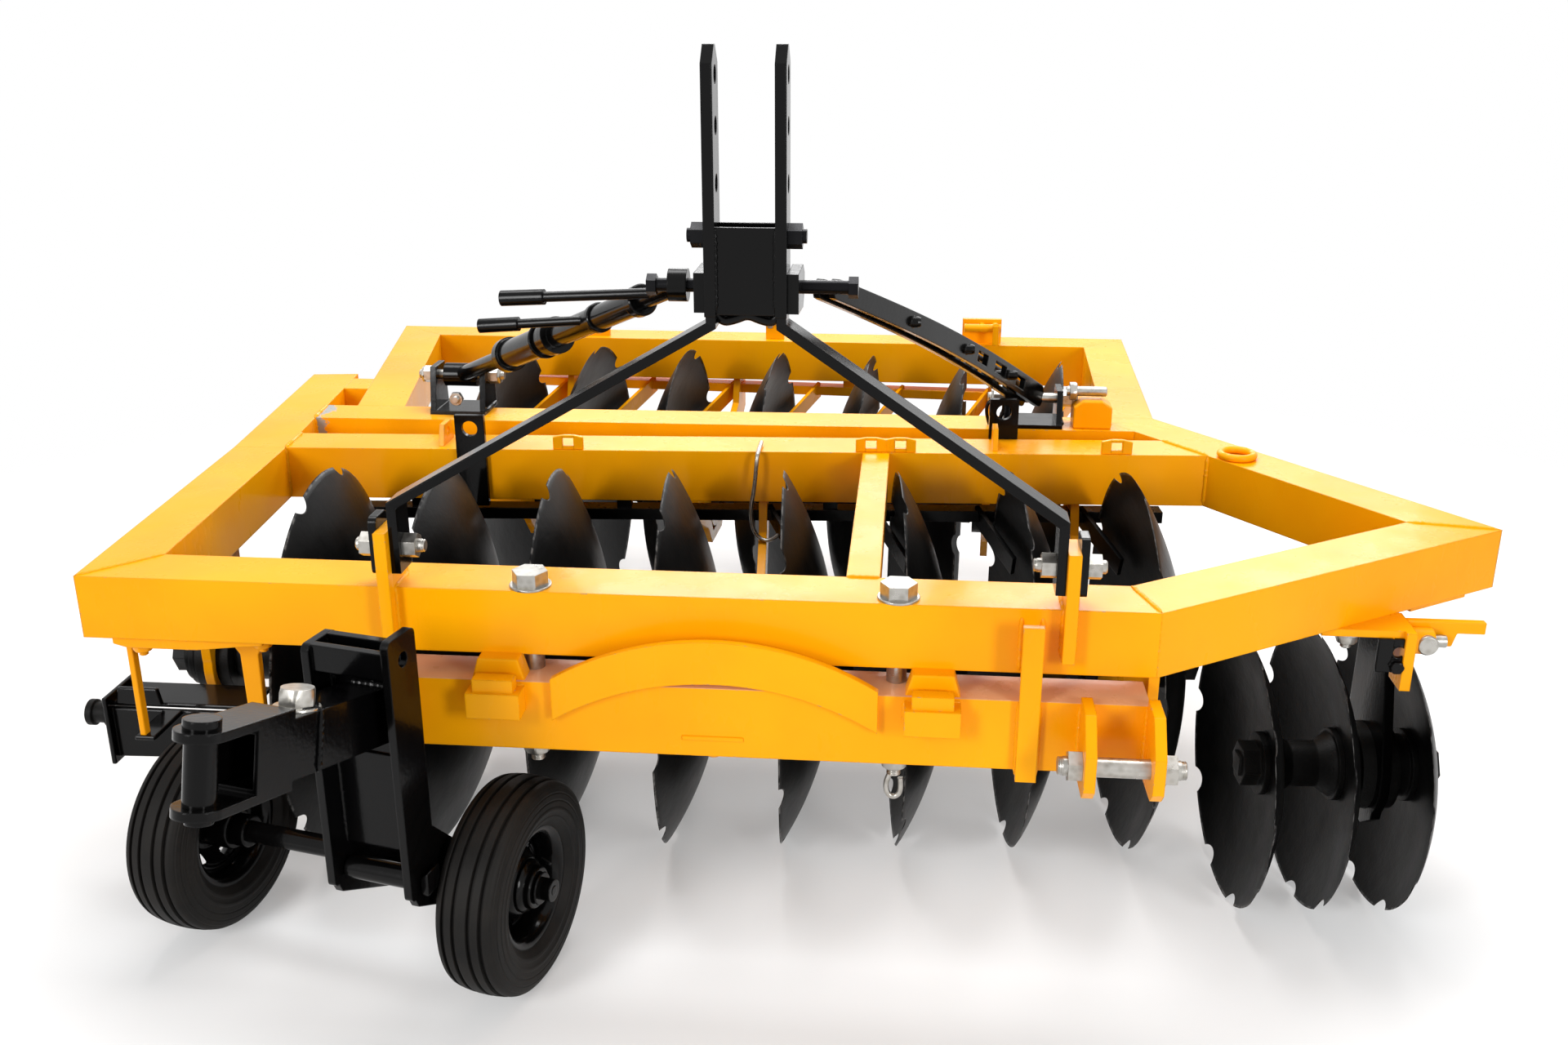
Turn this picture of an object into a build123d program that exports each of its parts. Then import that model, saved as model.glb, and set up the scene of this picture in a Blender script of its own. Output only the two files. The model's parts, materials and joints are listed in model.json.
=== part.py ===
from build123d import *
import math
import os

# Disc harrow for a three-point hitch, with a two-wheel cart pinned at its left lower hitch point.
# X runs along the front beam, Y to the rear of the machine, Z up from the ground. Millimetres.

# ---- driving dimensions ---------------------------------------------------
TUBE = 100  # square frame tube
WALL = 6
FRAME_TOP = 620
FRAME_LOW = FRAME_TOP - TUBE
PLATE = 16  # brackets and clevis plates
BOLT = 20

# outer corners of the frame in plan
FRONT_LEFT = (-990, 0)
FRONT_RIGHT = (610, 0)
WING_TIP = (1212, 400)
WING_REAR = (745, 1035)
LEFT_JOINT = (-1046, 670)
LEFT_END = (-1120, 1250)
REAR_LEFT = (-1085, 1790)
REAR_RIGHT = (775, 1790)

# front faces of the cross beams: x, y at the left and at the right
FRONT_CROSS = ((-1046, 670), (870, 781))
MIDDLE_CROSS = ((-1100, 886), (745, 935))

# gangs of concave discs
DISC_R = 330
DISC_T = 6
DISC_FLAT_R = 62
NOTCHES = 10
NOTCH_R = 26
BEVEL = 8
SHAFT = 32  # square shaft
FIT = 0.3  # running and seating play
SPOOL_R = 38
SPOOL_FLANGE_R = 60
BEARING_R = 72
BEARING_W = 60
JOURNAL_R = 45
END_WASHER_R, END_WASHER_T = 52, 10
END_NUT_R, END_NUT_T = 37, 28
SHAFT_TAIL = 42

# y0: where the axis crosses x = 0; slope of the axis; z and radius of the discs; first disc, pitch and
# count along the axis; hollow: the side the discs' hollow faces; bearings: the gaps that hold one;
# back: from a disc's back to the middle of a bearing; stub: length of an outer spool before the first disc
FRONT_GANG = dict(
    y0=438.6, slope=0.067, z=DISC_R, r=DISC_R, dish=85, first=-680, pitch=200, count=8, hollow=-1,
    bearings=(-1, 3, 6), back=64, stub=330, hanger_top=FRAME_LOW,
)
REAR_GANG = dict(
    y0=1353, slope=-0.055, z=DISC_R, r=DISC_R, dish=85, first=-790, pitch=215, count=7, hollow=1,
    bearings=(0, 2, 5), back=64, stub=0, hanger_top=FRAME_LOW,
)
# smaller discs where the wing leaves less room
WING_GANG = dict(
    y0=236, slope=0.067, z=235, r=235, dish=50, first=850, pitch=118, count=3, hollow=-1,
    bearings=(1,), back=48, stub=0, hanger_top=FRAME_LOW,
)

# hitch beam and its clevises
HITCH_TOP = 490
HITCH_LOW = 380
HITCH_FACE = -30
HITCH_DEPTH = 80
HITCH_HALF = 620
PIN_Z = 421
PIN_Y = -88
PIN_R = 14
CLEVIS_INNER = 510
CLEVIS_OUTER = 604

# mast
MAST_CENTRE = 15
MAST_X = 50  # from the centre to the middle of each plate
MAST_T = 16
MAST_Y = 110
MAST_W = 60
MAST_TOP = 1376
MAST_BEND = 1012
MAST_HOLES = (1337, 1270, 1193)
TOP_LINK_R = 13
MAST_PIN_Z = 1122
EAR_X = {-1: -505, 1: 482}  # left and right ear
EAR_T = 18
BRACE_T = 14
EAR_BOLT_Z = FRAME_TOP + 60
EAR_BOLT_Y = 18

# stay brackets on the middle cross beam
STAY_LEFT_X = -686
STAY_RIGHT_X = 494

# cart
CART_X, CART_Y, CART_YAW = -626, -146, 13
WHEEL_R = 165
TYRE_W = 100
TRACK = 540
AXLE_BACK = 150  # from the uprights back to the axle
AXLE_R = 17
UPRIGHTS = (80, 205)  # along the axle from its centre
UPRIGHT_W = 66
UPRIGHT_T = 12
ARM_W, ARM_H, ARM_LENGTH, ARM_PITCH = 64, 80, 272, 14


# ---- small geometry helpers -----------------------------------------------
def along(p, q, t):
    """The point a share t of the way from p to q."""
    return tuple(a + (b - a) * t for a, b in zip(p, q))


def shifted(p, q, d):
    """The line p-q moved d to its left."""
    length = math.hypot(q[0] - p[0], q[1] - p[1])
    nx, ny = -(q[1] - p[1]) / length * d, (q[0] - p[0]) / length * d
    return (p[0] + nx, p[1] + ny), (q[0] + nx, q[1] + ny)


def meet(first, second):
    """Where two lines, each given by two points, cross."""
    (x1, y1), (x2, y2) = first
    (x3, y3), (x4, y4) = second
    den = (x1 - x2) * (y3 - y4) - (y1 - y2) * (x3 - x4)
    a, b = x1 * y2 - y1 * x2, x3 * y4 - y3 * x4
    return ((a * (x3 - x4) - (x1 - x2) * b) / den, (a * (y3 - y4) - (y1 - y2) * b) / den)


def tube(outer, inner, start, end):
    """A square tube lying between two long sides and cut by the lines start and end."""
    a0, a1, b1, b0 = meet(outer, start), meet(outer, end), meet(inner, end), meet(inner, start)
    t = WALL / TUBE
    rings = (
        (FRAME_LOW, TUBE, (a0, a1, b1, b0), Mode.ADD),
        (
            FRAME_LOW + WALL,
            TUBE - 2 * WALL,
            (along(a0, b0, t), along(a1, b1, t), along(b1, a1, t), along(b0, a0, t)),
            Mode.SUBTRACT,
        ),
    )
    for z, height, corners, mode in rings:
        with BuildSketch(Plane.XY.offset(z)) as profile:
            with BuildLine():
                Polyline(*corners, close=True)
            make_face()
        extrude(profile.sketch, amount=height, mode=mode)


def plate_x(x, thick, outline, round_r=0, holes=()):
    """A plate standing across X at x, from an outline of (y, z) points, with (y, z, radius) holes."""
    with BuildSketch(Plane.YZ.offset(x - thick / 2)) as face:
        with BuildLine():
            Polyline(*outline, close=True)
        make_face()
        if round_r:
            fillet(face.vertices(), radius=round_r)
        for y, z, r in holes:
            with Locations((y, z)):
                Circle(r, mode=Mode.SUBTRACT)
    extrude(face.sketch, amount=thick)


def rod(p, q, r):
    """A round bar from p to q."""
    with BuildSketch(Plane(origin=p, z_dir=Vector(*q) - Vector(*p))) as profile:
        Circle(r)
    extrude(profile.sketch, amount=(Vector(*q) - Vector(*p)).length)


def hexagon(p, q, r):
    """A bolt head or nut from p to q, r to its corners."""
    with BuildSketch(Plane(origin=p, z_dir=Vector(*q) - Vector(*p))) as profile:
        RegularPolygon(r, 6)
    extrude(profile.sketch, amount=(Vector(*q) - Vector(*p)).length)


def box_between(low, high, mode=Mode.ADD):
    """An upright block from its low corner to its high corner."""
    size = [h - l for l, h in zip(low, high)]
    with Locations(low):
        Box(*size, align=(Align.MIN, Align.MIN, Align.MIN), mode=mode)


def ribbon(points, wide, thick):
    """A flat bar bent about Y: path points (x, y, z), its width along Y at each point."""
    sections = []
    for i, p in enumerate(points):
        before = Vector(*p) - Vector(*points[i - 1]) if i else None
        after = Vector(*points[i + 1]) - Vector(*p) if i < len(points) - 1 else None
        runs = [Vector(d.X, 0, d.Z).normalized() for d in (before, after) if d]
        mean = sum(runs, Vector(0, 0, 0)).normalized()
        normal = Vector(mean.Z, 0, -mean.X)
        stretch = 1 / abs(normal.dot(Vector(runs[0].Z, 0, -runs[0].X)))
        with BuildSketch(Plane(origin=p, x_dir=normal, z_dir=mean)) as profile:
            Rectangle(thick * stretch, wide[i])
        sections.append(profile.sketch)
    loft(sections, ruled=True)


# ---- frame ----------------------------------------------------------------
left_slope = (LEFT_JOINT, LEFT_END)
front_line = (FRONT_LEFT, FRONT_RIGHT)
wing_line = (FRONT_RIGHT, WING_TIP)
wing_back = (WING_TIP, WING_REAR)
left_line = (LEFT_JOINT, FRONT_LEFT)
left_back = (LEFT_END, LEFT_JOINT)
rear_line = (REAR_RIGHT, REAR_LEFT)
rear_left_line = (REAR_LEFT, (-920, 990))
rear_right_line = ((745, 1035), REAR_RIGHT)


def inside(line):
    return shifted(*line, TUBE)


def mitre(one, other):
    """The cut between two beams, through their outer and inner corners."""
    return meet(one, other), meet(inside(one), inside(other))


def beam_cut(line):
    """A square cut across the start of a beam."""
    p, q = line
    return p, shifted(p, q, TUBE)[0]


front_cross_face = FRONT_CROSS
front_cross_rear = shifted(*FRONT_CROSS, TUBE)
middle_face = MIDDLE_CROSS
middle_rear = shifted(*MIDDLE_CROSS, TUBE)

with BuildPart() as front_beam:
    tube(front_line, inside(front_line), mitre(left_line, front_line), mitre(front_line, wing_line))

with BuildPart() as wing_front_beam:
    tube(wing_line, inside(wing_line), mitre(front_line, wing_line), mitre(wing_line, wing_back))

with BuildPart() as wing_rear_beam:
    tube(wing_back, inside(wing_back), mitre(wing_line, wing_back), middle_rear)

with BuildPart() as left_front_side_beam:
    tube(left_line, inside(left_line), front_cross_face, mitre(left_line, front_line))

with BuildPart() as left_rear_side_beam:
    tube(left_back, inside(left_back), beam_cut(left_back), front_cross_face)

with BuildPart() as front_cross_beam:
    tube(front_cross_face, front_cross_rear, inside(left_back), inside(wing_back))

with BuildPart() as middle_cross_beam:
    tube(middle_face, middle_rear, inside(left_back), inside(wing_back))

with BuildPart() as rear_left_beam:
    tube(rear_left_line, inside(rear_left_line), mitre(rear_line, rear_left_line), middle_rear)

with BuildPart() as rear_right_beam:
    tube(rear_right_line, inside(rear_right_line), middle_rear, mitre(rear_right_line, rear_line))

with BuildPart() as rear_beam:
    tube(rear_line, inside(rear_line), mitre(rear_right_line, rear_line), mitre(rear_line, rear_left_line))

# a short tube ties the left side beam to the left rear beam
LINK_FRONT = ((-1100, 1130), (-800, 1130))
with BuildPart() as left_link_beam:
    tube(LINK_FRONT, shifted(*LINK_FRONT, 90), inside(left_back), rear_left_line)

# a flat strut ties the front beam to the front cross beam between two discs
STRUT_X = 186
STRUT_W = 50
with BuildPart() as ring_strut:
    left_side = ((STRUT_X + STRUT_W / 2, 0), (STRUT_X + STRUT_W / 2, 900))
    right_side = ((STRUT_X - STRUT_W / 2, 0), (STRUT_X - STRUT_W / 2, 900))
    face = inside(front_line)
    corners = (
        meet(face, right_side),
        meet(face, left_side),
        meet(front_cross_face, left_side),
        meet(front_cross_face, right_side),
    )
    with BuildSketch(Plane.XY.offset(FRAME_TOP - 60)):
        with BuildLine():
            Polyline(*corners, close=True)
        make_face()
    extrude(amount=60)

frame = {
    "front_beam": front_beam,
    "right_wing_front_beam": wing_front_beam,
    "right_wing_rear_beam": wing_rear_beam,
    "left_front_side_beam": left_front_side_beam,
    "left_rear_side_beam": left_rear_side_beam,
    "front_cross_beam": front_cross_beam,
    "middle_cross_beam": middle_cross_beam,
    "rear_left_beam": rear_left_beam,
    "rear_right_beam": rear_right_beam,
    "rear_beam": rear_beam,
    "left_link_beam": left_link_beam,
    "ring_strut": ring_strut,
}


# ---- gangs ----------------------------------------------------------------
def gang_frame(gang):
    """Origin on the gang's axis at x = 0 and the unit direction of the axis."""
    length = math.hypot(1, gang["slope"])
    direction = Vector(1 / length, gang["slope"] / length, 0)
    return Vector(0, gang["y0"], gang["z"]), direction


def stations(gang):
    """Where each disc's middle stands along the axis."""
    return [gang["first"] + i * gang["pitch"] for i in range(gang["count"])]


def lengthwise(gang):
    """A plane with its X along the gang's axis and its Y up."""
    origin, direction = gang_frame(gang)
    return Plane(origin=origin, x_dir=direction, z_dir=direction.cross(Vector(0, 0, 1)))


def crosswise(gang, s):
    """A plane square to the axis at station s, its Y up, its normal along the axis."""
    origin, direction = gang_frame(gang)
    return Plane(origin=origin + direction * s, x_dir=Vector(0, 0, 1).cross(direction), z_dir=direction)


def turn(gang):
    origin, direction = gang_frame(gang)
    return Axis(tuple(origin), tuple(direction))


def dish(gang, s):
    """One concave disc: a flat middle and a dished rim with a bevelled edge, turned about the axis."""
    side, edge, depth = gang["hollow"], gang["r"], gang["hollow"] * gang["dish"]
    mid_r = DISC_FLAT_R + (edge - DISC_FLAT_R) * 0.55
    mid_x = depth * 0.36
    x0, x1 = s, s - side * DISC_T
    with BuildSketch(lengthwise(gang)) as profile:
        with BuildLine():
            Polyline((x1, DISC_FLAT_R), (x1, 0), (x0, 0), (x0, DISC_FLAT_R))
            ThreePointArc((x0, DISC_FLAT_R), (x0 + mid_x, mid_r), (x0 + depth, edge))
            Line((x0 + depth, edge), (x1 + depth, edge - BEVEL))
            ThreePointArc((x1 + depth, edge - BEVEL), (x1 + mid_x, mid_r), (x1, DISC_FLAT_R))
        make_face()
    revolve(profile.sketch, axis=turn(gang))


def notch_ring(gang, s, phase):
    """Shallow scallops cut round the rim of the disc at station s."""
    depth = gang["hollow"] * gang["dish"]
    with BuildSketch(crosswise(gang, s + depth * 0.35)) as profile:
        with PolarLocations(gang["r"] + NOTCH_R * 0.45, NOTCHES, start_angle=phase):
            Circle(NOTCH_R)
    extrude(profile.sketch, amount=depth, mode=Mode.SUBTRACT)


def gap_spans(gang):
    """The free length between neighbouring discs, each seated face to face on its spool."""
    side = gang["hollow"]
    if gang["stub"]:
        yield -1, gang["first"] - gang["stub"], gang["first"]
    for i, s in enumerate(stations(gang)[:-1]):
        low = s + (DISC_T if side < 0 else 0)
        high = s + gang["pitch"] - (DISC_T if side > 0 else 0)
        yield i, low, high


def bearing_at(gang, i, low, high):
    """The middle of the bearing on a spool, on the side where the next disc's rim is far from it."""
    if i < 0:
        return low + BEARING_W / 2 + 16
    return low + gang["back"] if gang["hollow"] < 0 else high - gang["back"]


def spool(gang, low, high, mid=None):
    """A cast spool between two discs, or the journal that turns in a bearing at mid."""
    flange = 10
    cone = 34
    if mid:
        start, end = mid - BEARING_W / 2 - 5, mid + BEARING_W / 2 + 5
        shoulder = JOURNAL_R + 6
        outline = (
            (low + flange, shoulder), (start, shoulder), (start, JOURNAL_R), (end, JOURNAL_R), (end, shoulder),
            (high - flange, shoulder),
        )
    else:
        outline = ((low + flange, SPOOL_FLANGE_R - 6), (low + cone, SPOOL_R), (high - cone, SPOOL_R),
                   (high - flange, SPOOL_FLANGE_R - 6))
    with BuildSketch(lengthwise(gang)) as profile:
        with BuildLine():
            Polyline(
                (low, 0), (low, SPOOL_FLANGE_R), (low + flange, SPOOL_FLANGE_R), *outline,
                (high - flange, SPOOL_FLANGE_R), (high, SPOOL_FLANGE_R), (high, 0), close=True
            )
        make_face()
    revolve(profile.sketch, axis=turn(gang))


def shaft_hole(gang, length):
    """The square bore that the shaft passes through."""
    with BuildSketch(crosswise(gang, gang["first"] - gang["stub"] - 100)) as profile:
        Rectangle(SHAFT + 2 * FIT, SHAFT + 2 * FIT)
    extrude(profile.sketch, amount=length, mode=Mode.SUBTRACT)


def shaft_ends(gang):
    """The ends of the stack of discs and spools."""
    low = gang["first"] - (DISC_T if gang["hollow"] > 0 else gang["stub"])
    high = stations(gang)[-1] + (DISC_T if gang["hollow"] < 0 else 0)
    return low, high


def hanger(gang, s, front_y, rear_y):
    """A yoke plate square to the axis: two feet under the beams and an eye round the bearing."""
    origin, direction = gang_frame(gang)
    centre = origin + direction * s
    front, rear = front_y - centre.Y, rear_y - centre.Y
    top = gang["hanger_top"] - gang["z"]
    eye = BEARING_R + 14
    if rear - front < 300:
        outline = (
            (front - 40, top), (rear + 40, top), (rear + 40, top - 30), (eye, 20), (eye - 20, -eye + 20),
            (30, -eye - 6), (-30, -eye - 6), (-eye + 20, -eye + 20), (-eye, 20), (front - 40, top - 30),
        )
    else:
        outline = (
            (front - 40, top), (front + 40, top), (front + 60, top - 60), (-eye, 40), (-eye, -30),
            (-50, -eye), (50, -eye), (eye, -30), (eye, 40), (rear - 60, top - 60), (rear - 40, top),
            (rear + 40, top), (rear + 40, top - 90), (eye + 20, -60), (60, -eye - 26), (-60, -eye - 26),
            (-eye - 20, -60), (front - 40, top - 90),
        )
    with BuildSketch(crosswise(gang, s - PLATE / 2)) as yoke:
        with BuildLine():
            Polyline(*outline, close=True)
        make_face()
        Circle(eye)
        Circle(BEARING_R, mode=Mode.SUBTRACT)
    extrude(yoke.sketch, amount=PLATE)


SCRAPER_W = 44
SCRAPER_T = 8
SCRAPER_GAP = 12  # from a scraper to its disc's rim
SCRAPER_BAR = (40, 22)  # across, high
SCRAPER_DROP = 19  # from the frame's underside to the top of the bar


def scrapers(gang, bar_y):
    """A bar under a cross beam, with a flat arm that reaches into the hollow of each disc."""
    origin, direction = gang_frame(gang)
    rearward = Vector(0, 0, 1).cross(direction)
    side = gang["hollow"]
    reach_out = gang["dish"] + SCRAPER_GAP + SCRAPER_T
    low = stations(gang)[0] + min(side * reach_out, 0) - 40
    high = stations(gang)[-1] + max(side * reach_out, 0) + 40
    bar_z = FRAME_LOW - SCRAPER_DROP - SCRAPER_BAR[1] / 2 - gang["z"]
    with BuildSketch(crosswise(gang, low)) as bar:
        with Locations((bar_y, bar_z)):
            Rectangle(*SCRAPER_BAR)
    extrude(bar.sketch, amount=high - low)
    for s in stations(gang)[::2]:
        with BuildSketch(crosswise(gang, s - 14)) as post:
            with Locations((bar_y, bar_z + SCRAPER_BAR[1] / 2 + SCRAPER_DROP / 2)):
                Rectangle(SCRAPER_BAR[0] * 0.7, SCRAPER_DROP)
        extrude(post.sketch, amount=28)
    reach = math.hypot(bar_y, bar_z)
    spoke = (rearward * bar_y + Vector(0, 0, bar_z)) * (1 / reach)
    tip_r = gang["r"] * 0.66
    tip_out = gang["dish"] * 0.42 + SCRAPER_GAP + SCRAPER_T
    splay = (reach_out - tip_out) / (gang["r"] - tip_r)
    for s in stations(gang):
        start = origin + direction * (s + side * (reach_out + splay * (reach - gang["r"]))) + spoke * reach
        end = origin + direction * (s + side * tip_out) + spoke * tip_r
        with BuildSketch(Plane(origin=start, x_dir=spoke.cross(direction), z_dir=end - start)) as arm:
            Rectangle(SCRAPER_W, SCRAPER_T)
        extrude(arm.sketch, amount=(end - start).length)
    for i, start, end in gap_spans(gang):
        if i in gang["bearings"]:
            mid = bearing_at(gang, i, start, end)
            with BuildSketch(crosswise(gang, mid - PLATE / 2)) as slab:
                with Locations((bar_y, bar_z)):
                    Rectangle(200, 200)
            extrude(slab.sketch, amount=PLATE, mode=Mode.SUBTRACT)


def gang_parts(label, gang, front_line_y, rear_line_y):
    """All the pieces of one gang, with the hangers that carry it."""
    low, high = shaft_ends(gang)
    bore = high - low + 600
    carried = [bearing_at(gang, i, *span) for i, *span in gap_spans(gang) if i in gang["bearings"]]
    with BuildPart() as discs:
        for i, s in enumerate(stations(gang)):
            dish(gang, s)
            notch_ring(gang, s, phase=i * 14)
        shaft_hole(gang, bore)
    with BuildPart() as spools:
        for i, start, end in gap_spans(gang):
            spool(gang, start, end, bearing_at(gang, i, start, end) if i in gang["bearings"] else None)
        shaft_hole(gang, bore)
    with BuildPart() as shaft:
        with BuildSketch(crosswise(gang, low - SHAFT_TAIL)) as profile:
            Rectangle(SHAFT, SHAFT)
        extrude(profile.sketch, amount=high - low + 2 * SHAFT_TAIL)
        for start, way in ((low, -1), (high, 1)):
            with BuildSketch(crosswise(gang, start)) as profile:
                Circle(END_WASHER_R)
            extrude(profile.sketch, amount=way * END_WASHER_T)
            with BuildSketch(crosswise(gang, start + way * END_WASHER_T)) as profile:
                RegularPolygon(END_NUT_R, 6)
            extrude(profile.sketch, amount=way * END_NUT_T)
    with BuildPart() as bearings:
        for mid in carried:
            with BuildSketch(crosswise(gang, mid - BEARING_W / 2)) as profile:
                Circle(BEARING_R)
                Circle(JOURNAL_R + FIT, mode=Mode.SUBTRACT)
            extrude(profile.sketch, amount=BEARING_W)
    with BuildPart() as hangers:
        for mid in carried:
            hanger(gang, mid, front_line_y(mid), rear_line_y(mid))
    return {
        f"{label}_discs": discs,
        f"{label}_spools": spools,
        f"{label}_shaft": shaft,
        f"{label}_bearings": bearings,
        f"{label}_hangers": hangers,
    }


def height_on(line, x):
    """The y of a line in plan at x."""
    (x0, y0), (x1, y1) = line
    return y0 + (y1 - y0) * (x - x0) / (x1 - x0)


SIDE_FOOT = 50  # half the spread of the feet of a hanger under the left side beam
wing_middle = shifted(*wing_line, TUBE / 2)
front_cross_middle = shifted(*FRONT_CROSS, TUBE / 2)
middle_cross_middle = shifted(*MIDDLE_CROSS, TUBE / 2)


def axis_y(gang, x):
    return gang["y0"] + gang["slope"] * x


def front_foot(x):
    """Where a front hanger's forward foot stands, clear of the hitch beam below the front beam."""
    if x < -HITCH_HALF:
        return axis_y(FRONT_GANG, x) - SIDE_FOOT
    return height_on(wing_middle, x) if x > FRONT_RIGHT[0] else TUBE - 5


def front_rear_foot(x):
    return axis_y(FRONT_GANG, x) + SIDE_FOOT if x < -HITCH_HALF else height_on(front_cross_middle, x)


gangs = {
    **gang_parts("front_gang", FRONT_GANG, front_foot, front_rear_foot),
    **gang_parts(
        "rear_gang", REAR_GANG, lambda x: height_on(middle_cross_middle, x), lambda x: REAR_LEFT[1] - TUBE / 2
    ),
}

def wing_foot(x):
    return height_on(wing_middle, x)


gangs.update(gang_parts("wing_gang", WING_GANG, lambda x: wing_foot(x) - 10, lambda x: wing_foot(x) + 10))

with BuildPart() as gang_scrapers:
    scrapers(FRONT_GANG, 318)
    scrapers(REAR_GANG, 372)

# ---- hitch beam -----------------------------------------------------------
with BuildPart() as hitch_beam:
    box_between((-HITCH_HALF + 20, HITCH_FACE, HITCH_LOW), (HITCH_HALF - 20, HITCH_FACE + HITCH_DEPTH, HITCH_TOP))
    box_between(
        (-HITCH_HALF, HITCH_FACE + WALL, HITCH_LOW + WALL),
        (HITCH_HALF, HITCH_FACE + HITCH_DEPTH - WALL, HITCH_TOP - WALL),
        Mode.SUBTRACT,
    )

# the arched plate: its left end, crown and right end along X, the heights of its ends and crown, its depth
ARCH = (-262, -24, 215)
ARCH_Z = (500, 568)
ARCH_DEEP = 66
LUGS = (-343, 293)
STRAP_X = 430
with BuildPart() as hitch_beam_plates:
    with BuildSketch(Plane.XZ.offset(-HITCH_FACE)):
        with BuildLine():
            low, high = ARCH_Z
            ThreePointArc((ARCH[0], low), (ARCH[1], high), (ARCH[2], low))
            Line((ARCH[2], low), (ARCH[2], low - ARCH_DEEP))
            ThreePointArc(
                (ARCH[2], low - ARCH_DEEP), (ARCH[1], high - ARCH_DEEP), (ARCH[0], low - ARCH_DEEP)
            )
            Line((ARCH[0], low - ARCH_DEEP), (ARCH[0], low))
        make_face()
    extrude(amount=12)
    for x in LUGS:
        box_between((x - 40, HITCH_FACE - 36, HITCH_TOP - 46), (x + 40, HITCH_FACE, HITCH_TOP - 6))
        box_between((x - 30, HITCH_FACE - 30, HITCH_TOP - 6), (x + 30, HITCH_FACE - 6, HITCH_TOP + 14))
    box_between(
        (STRAP_X - 15, HITCH_FACE - 12, HITCH_LOW - 14), (STRAP_X + 15, HITCH_FACE, FRAME_TOP - 12)
    )


def clevis_plates(side):
    """The two plates of a lower hitch point, welded to the beam's face and end."""
    for x in (CLEVIS_INNER, CLEVIS_OUTER):
        plate_x(
            side * x, PLATE,
            (
                (HITCH_FACE, 500), (PIN_Y + 2, 500), (PIN_Y - 36, PIN_Z + 32), (PIN_Y - 36, PIN_Z - 22),
                (PIN_Y - 18, PIN_Z - 40), (HITCH_FACE, PIN_Z - 44),
            ),
            holes=((PIN_Y, PIN_Z, PIN_R + FIT),),
        )


def cross_pin(x0, x1, y, z, r, nut):
    """A pin along X with a nut and washer at each end, its shank from x0 to x1."""
    rod((x0 - 26, y, z), (x1 + 26, y, z), r)
    hexagon((x0, y, z), (x0 - 20, y, z), nut)
    hexagon((x1, y, z), (x1 + 20, y, z), nut)


with BuildPart() as hitch_clevises:
    clevis_plates(-1)
    clevis_plates(1)

pin_low, pin_high = CLEVIS_INNER - PLATE / 2, CLEVIS_OUTER + PLATE / 2
with BuildPart() as hitch_pins:
    cross_pin(-pin_high, -pin_low, PIN_Y, PIN_Z, PIN_R, 23)
    cross_pin(pin_low, pin_high, PIN_Y, PIN_Z, PIN_R, 23)

FRAME_BOLTS = (-300, 240)
FRAME_BOLT_Y = 25
FRAME_BOLT_R = 15

# bolts drop through the front beam into the hitch beam
with BuildPart() as frame_bolts:
    for x in FRAME_BOLTS:
        rod((x, FRAME_BOLT_Y, HITCH_TOP), (x, FRAME_BOLT_Y, FRAME_LOW), FRAME_BOLT_R)
        hexagon((x, FRAME_BOLT_Y, FRAME_TOP), (x, FRAME_BOLT_Y, FRAME_TOP + 24), 27)

# under the right wing: a bolted flat, an end plate square to it and a skirt along the beam's outer half
WING_FLAT_X = (890, 1030)
WING_SKIRT_X = (1062, 1170)
WING_DROP = 96
WING_PIN_Z = FRAME_LOW - 29
with BuildPart() as wing_plates:
    flat_y = height_on(wing_line, WING_FLAT_X[1]) - 44
    box_between((WING_FLAT_X[0], flat_y - 34, FRAME_LOW - 12), (WING_FLAT_X[1], flat_y + 40, FRAME_LOW))
    box_between(
        (WING_FLAT_X[1] - PLATE, flat_y - 44, FRAME_LOW - WING_DROP),
        (WING_FLAT_X[1], flat_y + 10, FRAME_LOW),
    )
    with Locations((WING_FLAT_X[1], flat_y, WING_PIN_Z)):
        Cylinder(BOLT / 2 + FIT, 3 * PLATE, rotation=(0, 90, 0), mode=Mode.SUBTRACT)
    skirt_low, skirt_high = ((x, height_on(wing_line, x)) for x in WING_SKIRT_X)
    with BuildSketch(Plane.XY.offset(FRAME_LOW)):
        with BuildLine():
            Polyline(
                shifted(skirt_low, skirt_high, 12)[0], shifted(skirt_low, skirt_high, 12)[1],
                shifted(skirt_low, skirt_high, 62)[1], shifted(skirt_low, skirt_high, 62)[0], close=True,
            )
        make_face()
    extrude(amount=-12)

with BuildPart() as wing_pin:
    rod((WING_FLAT_X[1] - PLATE, flat_y, WING_PIN_Z), (WING_FLAT_X[1] + 58, flat_y, WING_PIN_Z), BOLT / 2)
    hexagon((WING_FLAT_X[1], flat_y, WING_PIN_Z), (WING_FLAT_X[1] + 20, flat_y, WING_PIN_Z), 19)

# tabs with a hole, on top of the front cross beam
BEAM_TABS = (-650, 412)
TAB_HOLE_R = 9
with BuildPart() as beam_tabs:
    for x in BEAM_TABS:
        y = height_on(front_cross_middle, x)
        plate_x(
            x, 10, ((y - 34, FRAME_TOP), (y + 34, FRAME_TOP), (y + 20, FRAME_TOP + 40), (y - 20, FRAME_TOP + 40)),
            holes=((y, FRAME_TOP + 22, TAB_HOLE_R),),
        )

# ears on the front beam that the mast's braces bolt to
with BuildPart() as front_beam_ears:
    for side in (-1, 1):
        plate_x(
            EAR_X[side], EAR_T,
            (
                (-22, FRAME_LOW + 25), (0, FRAME_LOW + 25), (0, FRAME_TOP), (62, FRAME_TOP),
                (46, EAR_BOLT_Z + 30), (-22, EAR_BOLT_Z + 30),
            ),
            holes=((EAR_BOLT_Y, EAR_BOLT_Z, BOLT / 2 + FIT),),
        )

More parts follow.
